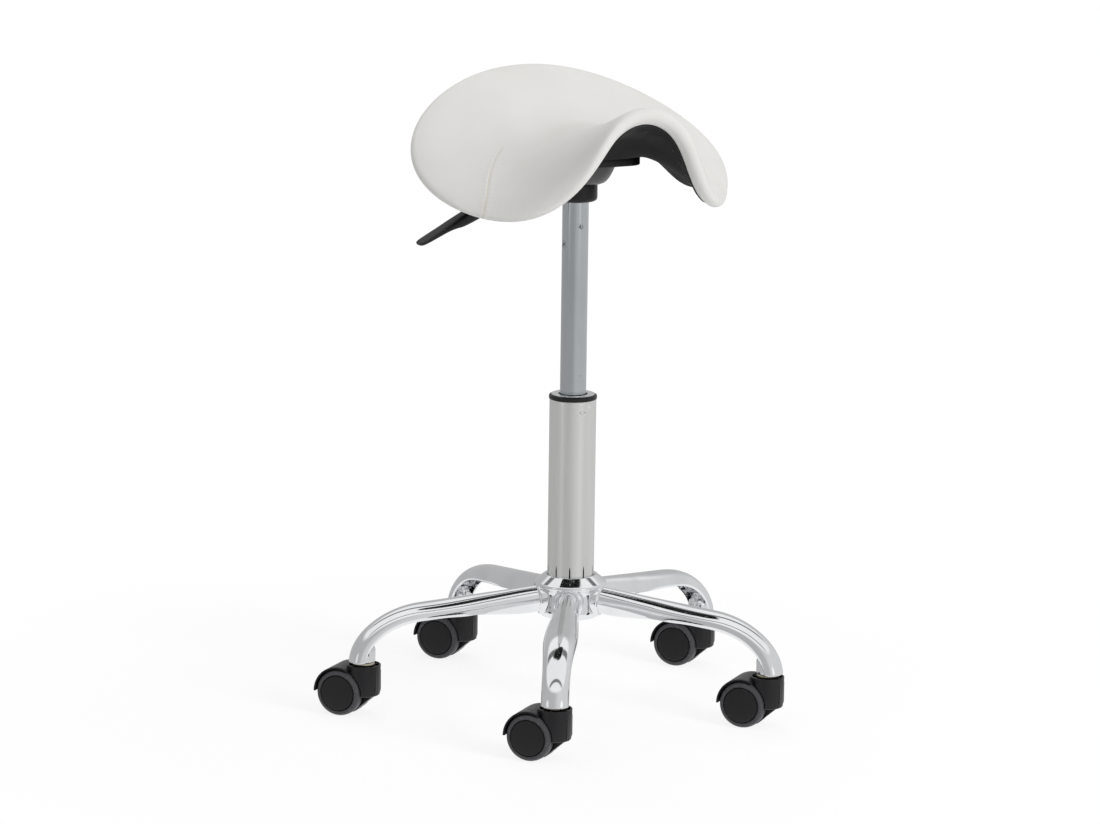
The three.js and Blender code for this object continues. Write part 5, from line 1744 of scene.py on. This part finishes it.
class STOOL_OT_lever(bpy.types.Operator):
    """Builds the height lever: eye, tongue, steel rod and paddle grip"""

    bl_idname = "stool.lever"
    bl_label = "Lever"

    def execute(self, context):
        s = context.scene.stool_lever
        black = steel_coat(s.steel_colour)
        grip = moulded_black("grip_black", tuple(s.grip_colour), 0.4, 0.4, 0.3)
        line = [self.at(reach) for reach in (2, 30, 60, 103)]
        rod = swept_recipe().run(line, thickness=LEVER_ROD, sides=40, finish=black)
        eye = turned_ring([(2.7, -6.4), (6, -6.4, 0.6), (6, 6.4, 0.6), (2.7, 6.4)], 0.3, 48)
        tongue = carved(block((-23, -5.4, 590.6), (4, 5.4, 596)), [], bevel=0.9)
        bar = joined(rod, along_y(eye, PIVOT_PLACE), tongue)
        piece("lever_bar", bar, black, "lever", ["lever_rod"])
        piece("lever_paddle", self.grip(), grip, "lever", ["lever_grip"], 50)
        return {"FINISHED"}

    def at(self, reach):
        """The point of the lever's line at a reach from its pivot."""
        return np.array([PIVOT[0] - reach, 0, PIVOT[1] - reach * LEVER_DROP])

    def grip(self):
        """Sections along the grip: round at the rod, then hollowed and spread into a thin paddle."""
        slope = unit(self.at(1) - self.at(0))
        up = np.array([slope[2], 0, -slope[0]])
        rings = []
        for t, wide, above, below in through(GRIP_KEYS, 72):
            centre = self.at(GRIP_REACH) + slope * t * GRIP_LENGTH
            section = []
            for a in np.linspace(0, 2 * math.pi, 40, endpoint=False):
                c, s = (math.copysign(abs(v) ** GRIP_SQUARE, v) for v in (math.cos(a), math.sin(a)))
                height = GRIP_TIP + (GRIP_ROOT - GRIP_TIP) * (above if s > 0 else below)
                section.append(centre + up * s * height + np.array([0, c * GRIP_HALF * wide, 0]))
            rings.append(section)
        return skin(rings)


class STOOL_OT_seat(bpy.types.Operator):
    """Builds the padded saddle with its sewn cover"""

    bl_idname = "stool.seat"
    bl_label = "Seat pad"

    def execute(self, context):
        s = context.scene.stool_seat
        cover = coated_cover(tuple(s.cover_colour), tuple(s.shade_colour))
        thread = sewing_thread(tuple(s.thread_colour))
        pad, outline = pad_mesh(s)
        modifier = pad.modifiers.new("rounder", "SUBSURF")
        modifier.levels = modifier.render_levels = 1
        smooth = evaluated(pad)
        pad.modifiers.remove(modifier)
        pad.data = smooth
        seams = [laid_on(pad, seam_path(outline, side), 0) for side in (-1, 1)]
        sculpt(pad, seams, s)
        settle(pad, cover, "seat", ["seat_pad"], 0)
        pad.data.shade_smooth()
        half = [(0, 1.4), (0.25, 1.25), (0.42, 0.6)]
        stitch = turned([*[(r, -z) for r, z in half], (0.46, 0), *half[::-1]], 8)
        row = row_recipe()
        rows = []
        for side in (-1, 1):
            line = laid_on(pad, seam_path(outline, side)[STITCHED], STITCH_LIFT)
            rows.append(with_unit(row, stitch, line, pitch=s.stitch_pitch / MM, finish=thread))
        piece("seat_stitches", joined(*rows), thread, "seat", (), 60)
        return {"FINISHED"}


# The lining's cloth: its thickness in millimetres
CLOTH_THICKNESS = 0.8

# The cloth hangs in from the shell's foot, is drawn up into the hollow and swells at the flaps
CLOTH_GAP = 0.5
DRAWN_UP = 7.0
SWOLLEN = 6.0
HOLLOW_TURN = 0.2

# The cloth stays this far under the shell, which is looked for from this far below the cloth
SHELL_GAP = 0.8
RAY_DROP = 60

# Half of a staple's crown in each direction, and the ring of the cloth that is stapled
STAPLE = (0.35, 0.55, 3.6)
STAPLED_RING = -6


class STOOL_OT_lining(bpy.types.Operator):
    """Builds the moulded shell's finish, and the lining stapled under it"""

    bl_idname = "stool.lining"
    bl_label = "Shell and lining"

    def execute(self, context):
        s = context.scene.stool_seat
        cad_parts["seat_shell"].data.materials[0] = shell_board(tone("2c2a28"))
        cloth = lining_cloth(tuple(s.lining_colour))
        rings = self.rings(s.around)
        mesh = mesh_of(skin(rings, caps=False), "seat_lining", MM, AXIS)
        lining = linked("seat_lining", mesh)
        modifier = lining.modifiers.new("thickness", "SOLIDIFY")
        modifier.thickness = CLOTH_THICKNESS * MM
        modifier.offset = 0
        lining.data = evaluated(lining)
        lining.modifiers.clear()
        settle(lining, cloth, "seat", ["under_lining"], 24)
        steel = finish_for("staple_steel", powder_coat, "staple_steel", tone("1c1c1e"), 0.3)
        wide, deep, long = STAPLE
        crown = carved(block((-wide, -deep, -long), (wide, deep, long)), [], bevel=0.25)
        line = rings[STAPLED_RING] + self.down(rings, STAPLED_RING) * 0.75
        line = np.vstack([line, line[:1]])
        staples = with_unit(row_recipe(), crown, line, pitch=s.staple_pitch / MM, finish=steel)
        piece("lining_staples", staples, steel, "seat", (), 40)
        return {"FINISHED"}

    def down(self, rings, k):
        """Unit vectors that point out of the lining's underside along one of its rings."""
        along = np.roll(rings[k], -1, 0) - np.roll(rings[k], 1, 0)
        across = rings[k] - rings[k - 1]
        n = unit(np.cross(along, across))
        return n * -np.sign(n[:, 2:3])

    def rings(self, around):
        """Rings of the cloth from the plate's edge over the hollow, along the shell and onto the lip."""
        outline = seat_outline(around)

        def top(y):
            return shell_foot(y) - FIT - CLOTH_GAP

        def foot(y):
            return -rim_half(y) - 0.7

        margin = ring_at(drawn_in(outline, SEAT_LIP + LINING_MARGIN), 1, top)
        edge = ring_at(drawn_in(outline, SEAT_LIP + 2 * FIT), 1, top)
        lip = ring_at(drawn_in(outline, SEAT_LIP - 1), 1, foot)
        hem = ring_at(drawn_in(outline, SEAT_LIP - 4.5), 1, foot)
        plate = rounded_rectangle(PLATE_HALF[0] + 1.5, PLATE_HALF[1] + 1.5, 12, 12)
        angles = np.arctan2(plate[:, 1], plate[:, 0])
        order = np.argsort(angles)
        want = np.arctan2(margin[:, 1], margin[:, 0])
        reach = np.interp(want, angles[order], np.hypot(*plate.T)[order], period=2 * math.pi)
        inner = ring_round(reach, PLATE_TOP - 0.4, want)
        # The cloth is drawn up between the plate's corners, which stand out, and swells at the flaps
        corner = math.atan2(PLATE_HALF[1], PLATE_HALF[0])
        off_corner = np.abs(np.abs((want + math.pi / 2) % math.pi - math.pi / 2) - corner)
        hollow = 1 - trough(off_corner, HOLLOW_TURN)
        flank = smoothstep(np.abs(np.cos(want)), 0.62, 0.86)
        rows = []
        for t in np.linspace(0, 1, 14):
            row = inner + (margin - inner) * t
            row[:, 2] += DRAWN_UP * math.sin(math.pi * t) * hollow * (1 - flank)
            row[:, 2] -= SWOLLEN * math.sin(math.pi * t**1.6) * flank
            rows.append(row)
        rows += [margin + (edge - margin) * t for t in (0.25, 0.5, 0.75, 0.97)]
        return np.concatenate([self.under_shell(np.array(rows)), [lip, hem]])

    def under_shell(self, rows):
        """Keeps the rings a little under the shell."""
        graph = bpy.context.evaluated_depsgraph_get()
        tree = BVHTree.FromObject(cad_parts["seat_shell"], graph)
        for row in rows:
            for p in row:
                start = Vector((p - (0, 0, RAY_DROP)) * MM + AXIS)
                hit = tree.ray_cast(start, Vector((0, 0, 1)))[0]
                if hit is not None:
                    p[2] = min(p[2], hit.z / MM - SHELL_GAP)
        return rows


# How bright the floor and the sky are to the camera, and in the room that gloss sees, how bright its walls
# are, how much brighter its right wall and its two strips, and how dark its gaps
FLOOR_GLOW = 1.05
SKY_GLOW = 1.02
WALL_LEVEL = 0.52
RIGHT_LEVEL = 0.22
STRIP_LEVEL = 0.4
GAP_DEPTH = 0.8

# The photograph's camera, fitted to the base and the column: its focal length in pixels of a picture 1100
# wide, its distance from the axis and its height in metres, and its turns in radians
PICTURE_WIDTH = 1100
FOCAL = 4548.0
CAMERA_DISTANCE = 4.757
CAMERA_HEIGHT = 1.277
CAMERA_PAN, CAMERA_TILT, CAMERA_ROLL = -0.0051, 0.1984, 0.0129

# The lamps look at the axis at this height, in metres
LAMP_TARGET = 0.35


class STOOL_OT_studio(bpy.types.Operator):
    """Sets out the pale floor, the soft lights, the sky and the camera"""

    bl_idname = "stool.studio"
    bl_label = "Studio"

    def execute(self, context):
        s = context.scene.stool_studio
        scene = context.scene
        scene.view_settings.view_transform = "Standard"
        self.floor(tuple(s.floor_colour))
        self.sky(scene, s.sky)
        self.lamp("key_light", (2.3, -1.9, 1.6), 1.3, s.key_power)
        self.lamp("back_light", (-0.4, 1.6, 2.6), 1.8, s.back_power)
        self.lamp("side_light", (-2.0, -1.6, 1.8), 1.2, s.side_power)
        self.camera(scene)
        return {"FINISHED"}

    def floor(self, pale):
        """A pale floor that takes the stool's shadow and is white to the camera further out."""
        angles = np.arange(64) * 2 * math.pi / 64
        rings = [ring_round(r, 0, angles) for r in (0.02, 0.5, 1.0, FLOOR_REACH)]
        mesh = bpy.data.meshes.new("floor")
        points, faces = skin(rings, caps=False)
        mesh.from_pydata(points.tolist(), [], [*faces, list(range(len(angles)))])
        floor = linked("floor", mesh)
        material = bpy.data.materials.new("studio_floor")
        n = emptied(material)
        place = n.node("ShaderNodeTexCoord", output="Object")
        far = n.vector("LENGTH", place).ramp(0.35, FLOOR_REACH * 0.9)
        lit = n.node("ShaderNodeBsdfDiffuse", {}, {"Color": (*pale, 1.0), "Roughness": 0.4})
        pale_floor = n.seen_by(n.rays("Camera") * (0.8 + far * 0.2), lit, n.glow(FLOOR_GLOW))
        nothing = n.node("ShaderNodeBsdfTransparent")
        n.end_in("ShaderNodeOutputMaterial", n.seen_by("Glossy", pale_floor, nothing))
        mesh.materials.append(material)

    def sky(self, scene, strength):
        """White for the camera, even light for surfaces, and for gloss a bright room with a dark side."""
        world = bpy.data.worlds.new("studio_sky")
        scene.world = world
        n = emptied(world)
        way = n.node("ShaderNodeTexCoord", output="Generated")
        height = n.node("ShaderNodeSeparateXYZ", {}, {0: way}, "Z")

        def facing(degrees):
            a = math.radians(degrees + VIEW_TURN)
            return n.vector("DOT_PRODUCT", way, (math.cos(a), math.sin(a), 0))

        def band(value, low, high, soft):
            return value.ramp(low - soft, low) * (1 - value.ramp(high, high + soft))

        # Dimmer walls between a white floor and a wide white lamp overhead, with a dark gap on its two sides
        walls = band(height, -0.36, 0.5, 0.14)
        right = facing(-10).ramp(-0.1, 0.6) * RIGHT_LEVEL
        left_strip, right_strip = (facing(turn).ramp(0.975, 0.995) * STRIP_LEVEL for turn in (-142, -48))
        wall = WALL_LEVEL + right + left_strip + right_strip
        away = facing(90)
        gaps = (band(away, 0.34, 0.46, 0.05) + band(away, -0.52, -0.46, 0.04)) * height.ramp(0.55, 0.7)
        room = 1.0 - walls * (1.0 - wall) - gaps * GAP_DEPTH
        lit = n.seen_by("Glossy", n.glow(strength), n.glow(room))
        n.end_in("ShaderNodeOutputWorld", n.seen_by("Camera", lit, n.glow(SKY_GLOW)))

    def lamp(self, name, place, width, power):
        """A round soft lamp, placed as seen by the camera: to its right, away from it and up."""
        light = bpy.data.lights.new(name, "AREA")
        light.shape = "DISK"
        light.size = width
        light.energy = power
        lamp = bpy.data.objects.new(name, light)
        bpy.context.scene.collection.objects.link(lamp)
        lamp.visible_glossy = False
        lamp.location = Matrix.Rotation(math.radians(VIEW_TURN), 3, "Z") @ Vector(place)
        target = Vector(AXIS) + Vector((0, 0, LAMP_TARGET))
        lamp.rotation_euler = (target - lamp.location).to_track_quat("-Z", "Y").to_euler()

    def camera(self, scene):
        """The photograph's view."""
        pan, tilt, roll = CAMERA_PAN, CAMERA_TILT, CAMERA_ROLL
        turn = Matrix.Rotation(math.radians(VIEW_TURN), 3, "Z")
        ahead = Vector((math.sin(pan) * math.cos(tilt), math.cos(pan) * math.cos(tilt), -math.sin(tilt)))
        right = Vector((math.cos(pan), -math.sin(pan), 0))
        up = right.cross(ahead)
        x = turn @ (right * math.cos(roll) + up * math.sin(roll))
        y = turn @ (up * math.cos(roll) - right * math.sin(roll))
        z = turn @ -ahead
        data = bpy.data.cameras.new("camera")
        data.sensor_fit = "HORIZONTAL"
        data.sensor_width = 36.0
        data.lens = FOCAL / PICTURE_WIDTH * data.sensor_width
        data.clip_end = 60
        camera = bpy.data.objects.new("camera", data)
        scene.collection.objects.link(camera)
        place = turn @ Vector((0, -CAMERA_DISTANCE, CAMERA_HEIGHT)) + Vector(AXIS)
        camera.matrix_world = Matrix.Translation(place) @ Matrix((x, y, z)).transposed().to_4x4()
        scene.camera = camera


OPERATORS = (
    STOOL_OT_studio, STOOL_OT_casters, STOOL_OT_arms, STOOL_OT_hub, STOOL_OT_column,
    STOOL_OT_mechanism, STOOL_OT_lever, STOOL_OT_lining, STOOL_OT_seat,
)


class STOOL_PT_panel(bpy.types.Panel):
    """Lists the stool's pieces and their settings"""

    bl_idname = "STOOL_PT_panel"
    bl_label = "Saddle Stool"
    bl_space_type = "VIEW_3D"
    bl_region_type = "UI"
    bl_category = "Stool"

    def draw(self, context):
        layout = self.layout
        for operator in OPERATORS:
            layout.operator(operator.bl_idname)
        for key, group in SETTINGS.items():
            box = layout.box()
            box.label(text=group.__doc__)
            for name in group.__annotations__:
                box.prop(getattr(context.scene, key), name)


def register():
    for cls in (*SETTINGS.values(), *OPERATORS, STOOL_PT_panel):
        bpy.utils.register_class(cls)
    for key, group in SETTINGS.items():
        setattr(bpy.types.Scene, key, bpy.props.PointerProperty(type=group))


def unregister():
    for key in SETTINGS:
        delattr(bpy.types.Scene, key)
    for cls in (STOOL_PT_panel, *OPERATORS[::-1], *list(SETTINGS.values())[::-1]):
        bpy.utils.unregister_class(cls)


def main():
    register()
    for operator in OPERATORS:
        group, name = operator.bl_idname.split(".")
        getattr(getattr(bpy.ops, group), name)()
    bpy.context.view_layer.update()


if __name__ == "__main__":
    main()
